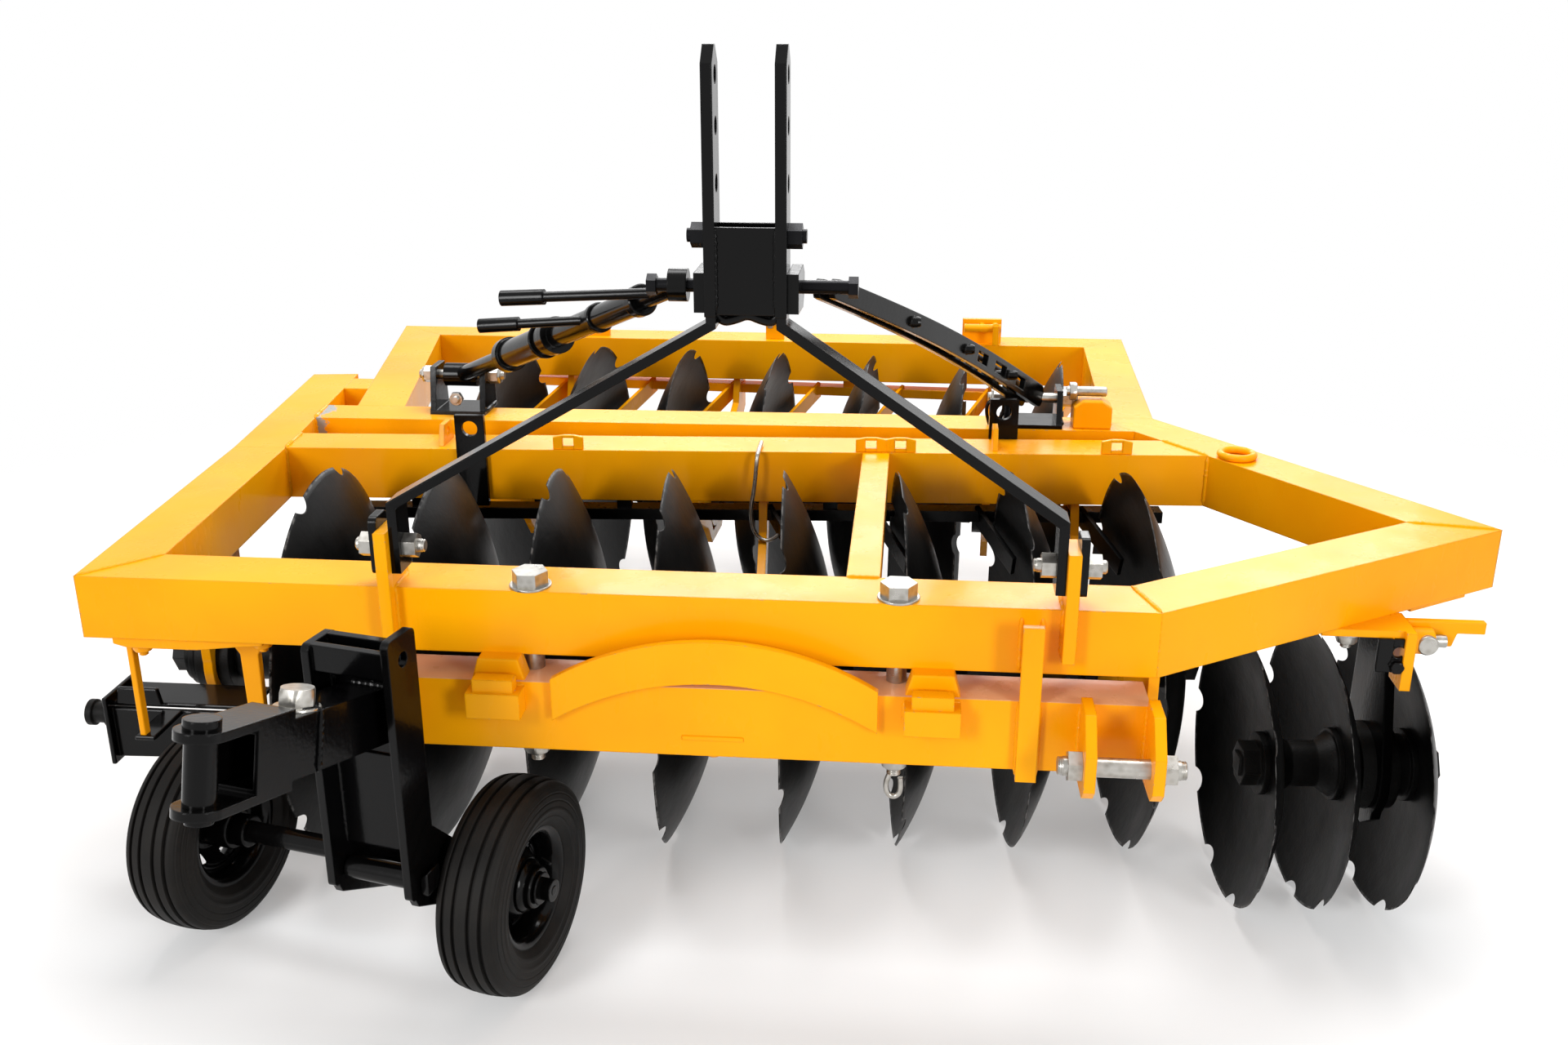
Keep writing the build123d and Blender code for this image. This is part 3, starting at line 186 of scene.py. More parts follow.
def bare_patch_enamel(middle, reach):
    """The yellow enamel with one scuffed place where the grey metal shows."""
    n = enamel("yellow_enamel_scuffed", YELLOW, YELLOW_DEEP, PRIMER, 0.28, 0.05, 0.62)
    mapping = n.add("ShaderNodeMapping")
    mapping.inputs["Location"].default_value = tuple(-c / r for c, r in zip(middle, reach))
    mapping.inputs["Scale"].default_value = tuple(1 / r for r in reach)
    n.link(n.coords, "Object", mapping, "Vector")
    ball = n.add("ShaderNodeTexGradient", gradient_type="SPHERICAL")
    n.link(mapping, "Vector", ball, "Vector")
    torn = n.noise(38, 5, 0.65)
    both = n.math("ADD", (ball, "Fac"), (torn, "Fac"))
    mask = n.ramp(both, 0, ((0.72, (0, 0, 0)), (0.78, (1, 1, 1))))
    old = n.shader.inputs["Base Color"].links[0].from_socket
    over = n.add("ShaderNodeMix", data_type="RGBA")
    n.link(mask, "Color", over, "Factor")
    sockets = [s for s in over.inputs if s.type == "RGBA"]
    n.tree.links.new(old, sockets[0])
    sockets[1].default_value = (0.33, 0.33, 0.31, 1)
    n.tree.links.new(over.outputs[2], n.shader.inputs["Base Color"])
    return n


def black_enamel():
    return enamel("black_enamel", (0.0012, 0.0012, 0.0014), (0.0024, 0.0022, 0.0021), (0.07, 0.06, 0.05),
                  0.16, 0.10, 0.70)


def disc_coat():
    """Thin black paint on rolled steel, slightly mottled, worn at the cutting edge."""
    n = Nodes("disc_coat")
    cloud = n.noise(7, 6, 0.6)
    tone = n.ramp(cloud, "Fac", ((0.35, (0.0014, 0.0014, 0.0015)), (0.70, (0.0052, 0.0050, 0.0048))))
    edge = n.edges(0.003, 0.82, 0.96)
    rubbed = n.noise(60, 4, 0.6)
    some = n.ramp(rubbed, "Fac", ((0.44, (0, 0, 0)), (0.58, (1, 1, 1))))
    worn = n.math("MULTIPLY", (edge, "Color"), (some, "Color"))
    colour = n.mix(worn, 0, (tone, "Color"), (0.13, 0.125, 0.12))
    n.tree.links.new(colour[0].outputs[colour[1]], n.shader.inputs["Base Color"])
    n.shader.inputs["Specular IOR Level"].default_value = 0.10
    gloss = n.ramp(cloud, "Fac", ((0.3, (0.30,) * 3), (0.7, (0.44,) * 3)))
    n.link(gloss, "Color", n.shader, "Roughness")
    fine = n.noise(240, 2, 0.5)
    n.surface(((fine, "Fac", 0.00015), (cloud, "Fac", 0.002)), 0.002)
    return n


def cast_black():
    """Painted sand casting: a coarse skin under the paint."""
    n = Nodes("cast_black")
    cloud = n.noise(14, 5, 0.6)
    tone = n.ramp(cloud, "Fac", ((0.35, (0.002, 0.002, 0.002)), (0.72, (0.007, 0.0066, 0.006))))
    n.link(tone, "Color", n.shader, "Base Color")
    n.shader.inputs["Specular IOR Level"].default_value = 0.12
    gloss = n.ramp(cloud, "Fac", ((0.3, (0.34,) * 3), (0.7, (0.52,) * 3)))
    n.link(gloss, "Color", n.shader, "Roughness")
    sand = n.noise(330, 3, 0.6)
    n.surface(((sand, "Fac", 0.0005), (cloud, "Fac", 0.0012)), 0.004)
    return n


def zinc_plate():
    """Zinc plated steel: pale, spangled and slightly dull."""
    n = Nodes("zinc_plate")
    cells = n.add("ShaderNodeTexVoronoi", feature="F1")
    cells.inputs["Scale"].default_value = 90
    n.link(n.coords, "Object", cells, "Vector")
    tone = n.ramp(cells, "Distance", ((0.0, (0.30, 0.285, 0.25)), (0.6, (0.43, 0.415, 0.385))))
    n.link(tone, "Color", n.shader, "Base Color")
    n.shader.inputs["Metallic"].default_value = 0.92
    cloud = n.noise(40, 4, 0.6)
    gloss = n.ramp(cloud, "Fac", ((0.3, (0.24,) * 3), (0.7, (0.42,) * 3)))
    n.link(gloss, "Color", n.shader, "Roughness")
    fine = n.noise(500, 2, 0.5)
    n.surface(((fine, "Fac", 0.0001),), 0.0012)
    return n


def tyre_rubber():
    """Matt rubber with a faint brown dust in its skin."""
    n = Nodes("tyre_rubber")
    cloud = n.noise(11, 5, 0.6)
    tone = n.ramp(cloud, "Fac", ((0.35, (0.0055, 0.0052, 0.005)), (0.75, (0.0150, 0.0130, 0.0112))))
    n.link(tone, "Color", n.shader, "Base Color")
    n.shader.inputs["Specular IOR Level"].default_value = 0.12
    gloss = n.ramp(cloud, "Fac", ((0.3, (0.48,) * 3), (0.7, (0.64,) * 3)))
    n.link(gloss, "Color", n.shader, "Roughness")
    fine = n.noise(420, 3, 0.6)
    n.surface(((fine, "Fac", 0.0002),), 0.0015)
    return n


MATERIALS = {
    "yellow_paint": yellow_enamel().material,
    "black_paint": black_enamel().material,
    "disc_steel": disc_coat().material,
    "cast_iron": cast_black().material,
    "zinc": zinc_plate().material,
    "tyre_rubber": tyre_rubber().material,
}
for part in frame["record"]["subparts"]:
    mesh = nodes[part["node"]].data
    mesh.materials.clear()
    mesh.materials.append(MATERIALS[part["material_slot"]])
scuffed = bare_patch_enamel(at(-1010, 925, 600), (0.085, 0.12, 0.060)).material
nodes["middle_cross_beam"].data.materials[0] = scuffed


def split_finish(name, source, axis, limit, soft, colour):
    """A copy of a material that turns to another colour where one coordinate passes a limit."""
    material = source.copy()
    material.name = name
    tree = material.node_tree
    shader = next(node for node in tree.nodes if node.type == "BSDF_PRINCIPLED")
    coords = tree.nodes.new("ShaderNodeTexCoord")
    part = tree.nodes.new("ShaderNodeSeparateXYZ")
    tree.links.new(coords.outputs["Object"], part.inputs[0])
    near = tree.nodes.new("ShaderNodeMapRange")
    near.inputs["From Min"].default_value = limit - soft
    near.inputs["From Max"].default_value = limit + soft
    tree.links.new(part.outputs[axis], near.inputs["Value"])
    over = tree.nodes.new("ShaderNodeMix")
    over.data_type = "RGBA"
    tree.links.new(near.outputs[0], over.inputs["Factor"])
    sockets = [s for s in over.inputs if s.type == "RGBA"]
    old = shader.inputs["Base Color"].links[0].from_socket
    tree.links.new(old, sockets[1 if axis == "Y" else 0])
    sockets[0 if axis == "Y" else 1].default_value = (*colour, 1)
    tree.links.new(over.outputs[2], shader.inputs["Base Color"])
    return material


BLACK = (0.0016, 0.0016, 0.0018)
nodes["mast_pins"].data.materials[0] = split_finish(
    "mast_pins_black_above", MATERIALS["zinc"], "Z", at(0, 0, 900)[2], 0.01, (0.010, 0.010, 0.011))
# Painted highlight: the hitch beam's top face is painted a pale sheen that stands in for the light reflected from
# above
PAINTED_TOP_SHEEN = (0.84, 0.47, 0.25)
nodes["hitch_beam"].data.materials[0] = split_finish(
    "hitch_beam_painted_top_sheen", MATERIALS["yellow_paint"], "Z", at(0, 0, 489.5)[2], 0.0004, PAINTED_TOP_SHEEN)
nodes["gang_scrapers"].data.materials[0] = split_finish(
    "front_scrapers_black", MATERIALS["yellow_paint"], "Y", at(0, 900, 0)[1], 0.01, BLACK)
nodes["wing_gang_hangers"].data.materials[0] = MATERIALS["black_paint"]


# ---- mesh helpers ---------------------------------------------------------
SHARP_ANGLE = math.radians(38)
NUT_STEPS = 24
NUT_FLAT = math.pi / 3


def made(name, mesh, material, body, slot, smooth=True, bevel=0.0):
    """Turn a mesh into a piece that rides on a body, with rounded edges where asked."""
    mesh.materials.append(MATERIALS[material])
    for polygon in mesh.polygons:
        polygon.use_smooth = smooth
    if smooth:
        mesh.set_sharp_from_angle(angle=SHARP_ANGLE)
    piece = bpy.data.objects.new(name, mesh)
    bpy.context.scene.collection.objects.link(piece)
    if bevel:
        rounded = piece.modifiers.new("rounded", "BEVEL")
        rounded.width = bevel
        rounded.segments = 2
        rounded.limit_method = "ANGLE"
    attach(piece, body)
    return piece


def from_bmesh(name, bm, material, body, slot=None, **looks):
    mesh = bpy.data.meshes.new(name)
    bmesh.ops.recalc_face_normals(bm, faces=bm.faces[:])
    bm.to_mesh(mesh)
    bm.free()
    return made(name, mesh, material, body, slot or material, **looks)


def along_axis(origin, axis):
    """A matrix that carries local X onto an axis through origin."""
    return Matrix.Translation(origin) @ Vector(axis).to_track_quat("X", "Z").to_matrix().to_4x4()


def lathe(bm, profile, place, segments=96, closed=True):
    """Turn (offset, radius) points in millimetres about the local X axis of place."""
    rings = []
    for i in range(segments):
        angle = 2 * math.pi * i / segments
        c, s = math.cos(angle), math.sin(angle)
        rings.append([bm.verts.new(place @ (Vector((x, r * c, r * s)) / 1000)) for x, r in profile])
    last = len(profile) if closed else len(profile) - 1
    for i in range(segments):
        a, b = rings[i], rings[(i + 1) % segments]
        for j in range(last):
            k = (j + 1) % len(profile)
            bm.faces.new((a[j], a[k], b[k], b[j]))


def hex_nut(bm, centre, axis, radius, height):
    """A hexagon nut or bolt head with turned-down corners, standing on centre along axis."""
    place = along_axis(centre, axis)
    rings = []
    outline = ((0.0, 0.94), (0.12, 1.0), (0.80, 1.0), (1.0, 0.86))
    for t, share in outline:
        ring = []
        for i in range(NUT_STEPS):
            angle = 2 * math.pi * i / NUT_STEPS
            flat = radius * math.cos(NUT_FLAT / 2) / math.cos((angle % NUT_FLAT) - NUT_FLAT / 2)
            r = min(flat, radius * share)
            ring.append(bm.verts.new(place @ (Vector((t * height, r * math.cos(angle),
                                                      r * math.sin(angle))) / 1000)))
        rings.append(ring)
    for a, b in zip(rings, rings[1:]):
        for i in range(NUT_STEPS):
            bm.faces.new((a[i], a[(i + 1) % NUT_STEPS], b[(i + 1) % NUT_STEPS], b[i]))
    bm.faces.new(rings[0][::-1])
    bm.faces.new(rings[-1])


def threaded(bm, start, axis, radius, length, pitch=2.5):
    """A bolt end with thread ridges."""
    profile = [(0, 0.2)]
    steps = max(2, int(length / pitch))
    for i in range(steps):
        x = length * i / steps
        profile += [(x, radius - 0.9), (x + pitch * 0.5, radius)]
    profile += [(length, radius - 1.6), (length, 0.2)]
    lathe(bm, profile, along_axis(start, axis), segments=20, closed=False)


def rope_of(name, points, radius, material, body, cyclic=False, order=3):
    """A bent rod through points, as a bevelled NURBS curve."""
    curve = bpy.data.curves.new(name, "CURVE")
    curve.dimensions = "3D"
    curve.bevel_depth = radius / 1000
    curve.bevel_resolution = 5
    curve.use_fill_caps = True
    spline = curve.splines.new("NURBS")
    spline.points.add(len(points) - 1)
    for target, point in zip(spline.points, points):
        target.co = (*point, 1)
    spline.order_u = order
    spline.use_endpoint_u = not cyclic
    spline.use_cyclic_u = cyclic
    spline.resolution_u = 8
    curve.materials.append(MATERIALS[material])
    piece = bpy.data.objects.new(name, curve)
    bpy.context.scene.collection.objects.link(piece)
    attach(piece, body)
    return piece


def weld(bm, points, radius):
    """A rippled weld bead along straight runs, half sunk in the corner that it fills."""
    for p, q in zip(points, points[1:]):
        run = q - p
        count = max(3, int(run.length / 0.0032))
        direction = run.normalized()
        side = direction.orthogonal().normalized()
        other = direction.cross(side)
        rings = []
        for i in range(count + 1):
            t = i / count
            taper = min(1.0, 0.35 + 8 * min(t, 1 - t))
            swell = 1 + 0.16 * math.cos(i * 2.1) + rng.uniform(-0.07, 0.07)
            r = radius / 1000 * swell * taper
            centre = p + run * t + side * rng.uniform(-0.0004, 0.0004)
            rings.append([
                bm.verts.new(centre + (side * math.cos(a) + other * math.sin(a)) * r)
                for a in (2 * math.pi * k / 8 for k in range(8))
            ])
        for a, b in zip(rings, rings[1:]):
            for k in range(8):
                bm.faces.new((a[k], a[(k + 1) % 8], b[(k + 1) % 8], b[k]))
        bm.faces.new(rings[0][::-1])
        bm.faces.new(rings[-1])


def slab(bm, outline, axis, thick):
    """A plate with the given outline (drawing millimetres), thick along the unit vector axis."""
    shift = Vector(axis) * thick / 1000
    low = [bm.verts.new(at(*p)) for p in outline]
    high = [bm.verts.new(at(*p) + shift) for p in outline]
    bm.faces.new(low[::-1])
    bm.faces.new(high)
    for i in range(len(outline)):
        j = (i + 1) % len(outline)
        bm.faces.new((low[i], low[j], high[j], high[i]))


# ---- welds ----------------------------------------------------------------
TUBE = 100
TOP = 620
LOW = 520
CORNERS = {
    "front_left": (-990, 0), "front_right": (610, 0), "wing_tip": (1212, 400), "wing_rear": (745, 1035),
    "left_joint": (-1046, 670), "left_end": (-1120, 1250),
}


def beside(p, q, d):
    """The line p-q moved d to its left, in the drawing's plan."""
    length = math.hypot(q[0] - p[0], q[1] - p[1])
    nx, ny = -(q[1] - p[1]) / length * d, (q[0] - p[0]) / length * d
    return (p[0] + nx, p[1] + ny), (q[0] + nx, q[1] + ny)


def crossing(one, other):
    """Where two plan lines cross."""
    (x1, y1), (x2, y2) = one
    (x3, y3), (x4, y4) = other
    d = (x1 - x2) * (y3 - y4) - (y1 - y2) * (x3 - x4)
    a, b = x1 * y2 - y1 * x2, x3 * y4 - y3 * x4
    return (a * (x3 - x4) - (x1 - x2) * b) / d, (a * (y3 - y4) - (y1 - y2) * b) / d


def frame_welds():
    bm = bmesh.new()
    c = CORNERS
    mitres = (
        ("left_joint", "front_left", "front_right"), ("front_left", "front_right", "wing_tip"),
        ("front_right", "wing_tip", "wing_rear"),
    )
    for before, corner, after in mitres:
        inner = crossing(beside(c[before], c[corner], TUBE), beside(c[corner], c[after], TUBE))
        outer = tuple(a + (b - a) * 0.03 for a, b in zip(c[corner], inner))
        weld(bm, [at(*outer, LOW + 3), at(*outer, TOP), at(*inner, TOP), at(*inner, LOW + 3)], 3.2)
    # butt ends of the cross beams against the side beams
    left_front = (c["left_joint"], c["front_left"])
    left_back = (c["left_end"], c["left_joint"])
    wing_back = (c["wing_tip"], c["wing_rear"])
    front_cross = ((-1046, 670), (870, 781))
    middle_cross = ((-1100, 886), (745, 935))
    butts = (
        (beside(*front_cross, 0), beside(*left_front, TUBE)),
        (beside(*front_cross, 0), beside(*wing_back, TUBE)),
        (beside(*middle_cross, 0), beside(*left_back, TUBE)),
    )
    for line, face in butts:
        x0, y0 = crossing(line, face)
        x1, y1 = crossing(beside(*line, TUBE), face)
        weld(bm, [at(x0, y0, LOW + 3), at(x0, y0, TOP), at(x1, y1, TOP)], 4)
    # the strut's two ends
    for x in (161, 211):
        weld(bm, [at(x, TUBE, LOW + 20), at(x, TUBE, TOP)], 3.5)
    weld(bm, [at(161, TUBE, TOP), at(211, TUBE, TOP)], 3.5)
    # ears on the front beam
    for x in (-505, 482):
        for side in (-9, 9):
            weld(bm, [at(x + side, 0, LOW + 28), at(x + side, 0, TOP), at(x + side, 60, TOP)], 4)
        weld(bm, [at(x - 9, 62, TOP), at(x + 9, 62, TOP)], 4)
    # clevis plates, lugs, strap and arch on the hitch beam
    for x in (-604, -510, 510, 604):
        for side in (-8, 8):
            weld(bm, [at(x + side, -30, 384), at(x + side, -30, 486)], 4)
    for x in (-343, 293):
        weld(bm, [at(x - 40, -30, 446), at(x - 40, -30, 482), at(x + 40, -30, 484)], 3.5)
    for side in (-15, 15):
        weld(bm, [at(430 + side, -30, 372), at(430 + side, -30, 488)], 3.5)
        weld(bm, [at(430 + side, 0, 524), at(430 + side, 0, 606)], 3.5)
    return from_bmesh("frame_weld_beads", bm, "yellow_paint", "frame")


def mast_welds():
    bm = bmesh.new()
    for x in (-27, 57):
        for y in (86, 140):
            weld(bm, [at(x, y, 1018), at(x, y, 1134)], 3.5)
    for x, z in ((-686, 628), (494, 628)):
        for side in (-58, 58):
            weld(bm, [at(x + side, 940, z), at(x + side, 1024, z)], 4)
    return from_bmesh("mast_weld_beads", bm, "black_paint", "frame")


# ---- fasteners ------------------------------------------------------------
def bolt_ends():
    """Thread ends and washers on the frame's bolts, and the nuts under the hitch beam."""
    bm = bmesh.new()
    for x in (-505, 482):
        side = -1 if x < 0 else 1
        low, high = x - side * 23, x + side * 21
        threaded(bm, at(low - side * 19, 18, 680), (-side, 0, 0), 9.6, 12)
        threaded(bm, at(high + side * 19, 18, 680), (side, 0, 0), 9.6, 9)
    for x in (-300, 240):
        lathe(bm, [(0, 15), (0, 31), (2.6, 31), (3.4, 30), (3.4, 15)],
              along_axis(at(x, 25, TOP), (0, 0, 1)), 32)
        lathe(bm, [(0, 2), (0, 30), (3, 30), (3, 2)], along_axis(at(x, 10, 380), (0, 0, -1)), 32)
        hex_nut(bm, at(x, 10, 377), (0, 0, -1), 21, 20)
        threaded(bm, at(x, 10, 357), (0, 0, -1), 11, 14)
    return from_bmesh("bolt_ends", bm, "zinc", "frame")


def hitch_pin_details():
    """Thread ends on the two lower link pins."""
    bm = bmesh.new()
    for x0, x1 in ((-612, -502), (502, 612)):
        for x, way in ((x0, -1), (x1, 1)):
            threaded(bm, at(x + way * 25, -88, 421), (way, 0, 0), 13.4, 9)
    return from_bmesh("hitch_pin_threads", bm, "zinc", "frame")


def u_eye():
    """The bent eye that hangs from the right frame bolt."""
    points = [at(240, 10, 352), at(231, 10, 338), at(228, 10, 318), at(234, 10, 304), at(246, 10, 304),
              at(252, 10, 318), at(250, 10, 336)]
    return rope_of("under_beam_eye", points, 4.2, "zinc", "frame")


def wire_hook():
    """A bent wire hook hung over the front cross beam."""
    y = 712
    points = [at(-36, y + 60, 626), at(-36, y, 627), at(-38, y - 10, 612), at(-42, y - 12, 560),
              at(-52, y - 14, 505), at(-42, y - 16, 462), at(-14, y - 18, 448), at(4, y - 18, 466)]
    return rope_of("wire_hook", points, 4.0, "zinc", "frame")


# ---- cart details ---------------------------------------------------------
YAW = math.radians(13)
CART_U = Vector((math.cos(YAW), -math.sin(YAW), 0))
CART_V = Vector((math.sin(YAW), math.cos(YAW), 0))
CART_BASE = at(-626, -146, 0)


def cart_at(u, v, z):
    return CART_BASE + (CART_U * u + CART_V * v) / 1000 + Vector((0, 0, z / 1000))


PITCH = math.radians(14)
ARM_ROOT = cart_at(142.5, 0, 505)
ARM_RUN = CART_V * -math.cos(PITCH) + Vector((0, 0, math.sin(PITCH)))
ARM_UP = CART_V * math.sin(PITCH) + Vector((0, 0, math.cos(PITCH)))


def arm_at(ahead, across, high):
    """A point on the cart's arm: millimetres ahead of its root, across and above its middle."""
    return ARM_ROOT + (ARM_RUN * ahead + CART_U * across + ARM_UP * high) / 1000


def cart_welds():
    bm = bmesh.new()
    for u in (86, 199):
        weld(bm, [cart_at(u, 6, 292), cart_at(u, 6, 438)], 4)
        weld(bm, [cart_at(u, 18, 292), cart_at(u, 18, 438)], 4)
    for side in (-1, 1):
        top, low = arm_at(150, side * 33, 41), arm_at(150, side * 33, -41)
        weld(bm, [low, top], 4.2)
        weld(bm, [arm_at(-2, side * 33, 40), arm_at(-14, side * 33, -6), arm_at(-14, side * 33, -40)], 4)
        weld(bm, [cart_at(142.5 + side * 56, 11, 452), cart_at(142.5 + side * 56, 11, 606)], 4)
    weld(bm, [arm_at(150, -32, 41), arm_at(150, 32, 41)], 4.2)
    weld(bm, [arm_at(-2, -32, 41), arm_at(-2, 32, 41)], 4.5)
    weld(bm, [arm_at(190, -30, 30), arm_at(235, -26, 30)], 2.6)
    return from_bmesh("cart_weld_beads", bm, "black_paint", "cart")


def arm_root_plate():
    """The cross plate between the uprights that the arm is welded to."""
    bm = bmesh.new()
    profile = ((24, 446), (24, 612), (12, 612), (12, 495.2), (3.9, 462.8), (3.9, 446))
    near = [bm.verts.new(cart_at(86, v, z)) for v, z in profile]
    far = [bm.verts.new(cart_at(199, v, z)) for v, z in profile]
    bm.faces.new(near[::-1])
    bm.faces.new(far)
    for i in range(len(profile)):
        j = (i + 1) % len(profile)
        bm.faces.new((near[i], near[j], far[j], far[i]))
    bmesh.ops.recalc_face_normals(bm, faces=bm.faces)
    return from_bmesh("arm_root_plate", bm, "black_paint", "cart", smooth=False)


def arm_bolt():
    """The zinc bolt head and washer on top of the cart's arm."""
    bm = bmesh.new()
    up = (ARM_UP.x, ARM_UP.y, ARM_UP.z)
    foot = Vector(at(-518, -310, 600))
    lathe(bm, [(-26, 10), (-26, 30), (-20, 31), (-17, 30), (-17, 10)], along_axis(foot, up), 40)
    hex_nut(bm, foot + ARM_UP * -0.017, up, 24.5, 24)
    return from_bmesh("arm_bolt", bm, "zinc", "cart")


def axle_tie():
    """The round tie between the uprights' feet, with gussets outside them."""
    bm = bmesh.new()
    place = along_axis(cart_at(90, 0, 252), CART_U)
    lathe(bm, [(0, 0.2), (0, 17), (104, 17), (104, 0.2)], place, 40, closed=False)
    lathe(bm, [(-34, 0.2), (-34, 9), (-31, 11), (-17, 11), (-14, 16), (-10, 16)], place, 32, closed=False)
    for u0, u1 in ((62, 76), (214, 226)):
        corners = ((u0, -14, 236), (u1, -14, 236), (u1, -14, 272), (u0, -14, 262))
        low = [bm.verts.new(cart_at(*c)) for c in corners]
        high = [bm.verts.new(cart_at(c[0], 20, c[2])) for c in corners]
        bm.faces.new(low[::-1])
        bm.faces.new(high)
        for i in range(4):
            bm.faces.new((low[i], low[(i + 1) % 4], high[(i + 1) % 4], high[i]))
    return from_bmesh("axle_tie", bm, "black_paint", "cart", bevel=0.002)


def wheel_frame(name):
    """The wheel's own frame: X along its axle, pointing away from the cart."""
    joint = next(j for j in frame["joints"] if j["name"] == name + "_turns")
    outward = 1 if name.startswith("right") else -1
    return along_axis(Vector(joint["pos_m"]), Vector(joint["axis"]) * outward)


def ribbed_tyre(name):
    """A tyre turned from its section: round shoulders, five ribs and a moulded sidewall ring."""
    half = [(36, 94), (41, 99), (44.6, 104), (45.8, 105), (47.0, 109), (46.6, 110), (48.6, 117),
            (49.8, 118.5), (50.0, 122), (49.0, 124), (49.5, 129), (49.4, 132), (48.4, 132.8), (48.4, 134.4),
            (49.2, 135.2), (48.6, 143), (47.4, 143.8), (47.4, 145.4), (47.8, 146.2), (45.4, 153),
            (44.2, 153.6), (43.8, 155), (41.0, 159)]
    grooves = ((30, 5), (12, 5))
    outline = list(half)

    def crown(x):
        return 165 - 5.2 * (abs(x) / 41) ** 2.4

    x = 38
    for middle, wide in grooves:
        for step in (x, middle + wide / 2 + 0.8):
            outline.append((step, crown(step)))
        outline += [(middle + wide / 2, crown(middle) - 6), (middle - wide / 2, crown(middle) - 6)]
        x = middle - wide / 2 - 0.8
        outline.append((x, crown(x)))
    outline.append((3, crown(3)))
    mirrored = [(-a, r) for a, r in reversed(outline)]
    profile = outline + mirrored
    bm = bmesh.new()
    lathe(bm, profile, wheel_frame(name), 144)
    piece = from_bmesh(name + "_ribbed_tyre", bm, "tyre_rubber", name, bevel=0.0008)
    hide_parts(name.replace("wheel", "tyre"))
    return piece


def pressed_rim(name):
    """A pressed steel rim: rolled flanges, a dished plate with five hand holes, a hub and a valve."""
    place = wheel_frame(name)
    bm = bmesh.new()
    barrel = [(-36, 94), (-36, 90), (-33, 84), (-27, 79), (-12, 76.5), (12, 76.5), (27, 79), (33, 84),
              (36, 90), (36, 94), (33, 94), (30, 88), (25, 83), (11, 80.5), (-11, 80.5), (-25, 83),
              (-30, 88), (-33, 94)]
    lathe(bm, barrel, place, 120)
    hub = [(-40, 17.5), (-40, 31), (-37, 33), (18, 33), (20, 40), (24, 41), (27, 39), (30, 33), (39, 32),
           (41, 30), (41, 17.5)]
    lathe(bm, hub, place, 64)
    # the plate between hub and barrel, with the hand holes left out of its grid
    radii = [33 + (78 - 33) * i / 18 for i in range(19)]
    around = 150
    def dish(r):
        return 20 - 24 * max(0, min(1, (r - 42) / 20)) ** 1.3 + 4 * math.exp(-((r - 69) / 5) ** 2)

    for shift in (0.0, -3.2):
        grid = [
            [bm.verts.new(place @ (Vector((dish(r) + shift, r * math.cos(a), r * math.sin(a))) / 1000))
             for a in (2 * math.pi * k / around for k in range(around))]
            for r in radii
        ]
        for i in range(len(radii) - 1):
            middle_r = (radii[i] + radii[i + 1]) / 2
            for k in range(around):
                a = (2 * math.pi * (k + 0.5) / around) % (2 * math.pi / 5) - math.pi / 5
                if ((middle_r - 58) / 9.5) ** 2 + (a * middle_r / 15) ** 2 < 1:
                    continue
                m = (k + 1) % around
                bm.faces.new((grid[i][k], grid[i][m], grid[i + 1][m], grid[i + 1][k]))
    rim = from_bmesh(name + "_pressed_rim", bm, "black_paint", name)
    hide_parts(name.replace("wheel", "rim"))
    studs = bmesh.new()
    valve = place @ (Vector((8, 74, 0)) / 1000)
    threaded(studs, valve, place.to_3x3() @ Vector((1, -0.5, 0)), 3.2, 22, 1.4)
    return rim, from_bmesh(name + "_valve", studs, "black_paint", name)


def axle_ends():
    """Washers, hub nuts and inner collars on the axle, in place of its plain nuts."""
    bm = bmesh.new()
    for name in ("left_wheel", "right_wheel"):
        place = wheel_frame(name)
        outward = place.to_3x3() @ Vector((1, 0, 0))
        lathe(bm, [(43, 10), (43, 24), (45, 25), (47, 24), (47, 10)], place, 48)
        hex_nut(bm, place @ Vector((0.047, 0, 0)), outward, 15, 13)
        lathe(bm, [(59, 0.2), (59, 9), (65, 9), (67, 7), (67, 0.2)], place, 32, closed=False)
        lathe(bm, [(-68, 17.2), (-68, 24), (-66, 26), (-44, 26), (-42, 24), (-42, 17.2)], place, 48)
    ends = from_bmesh("axle_ends", bm, "black_paint", "cart", slot="zinc")
    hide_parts("axle_nuts")
    return ends


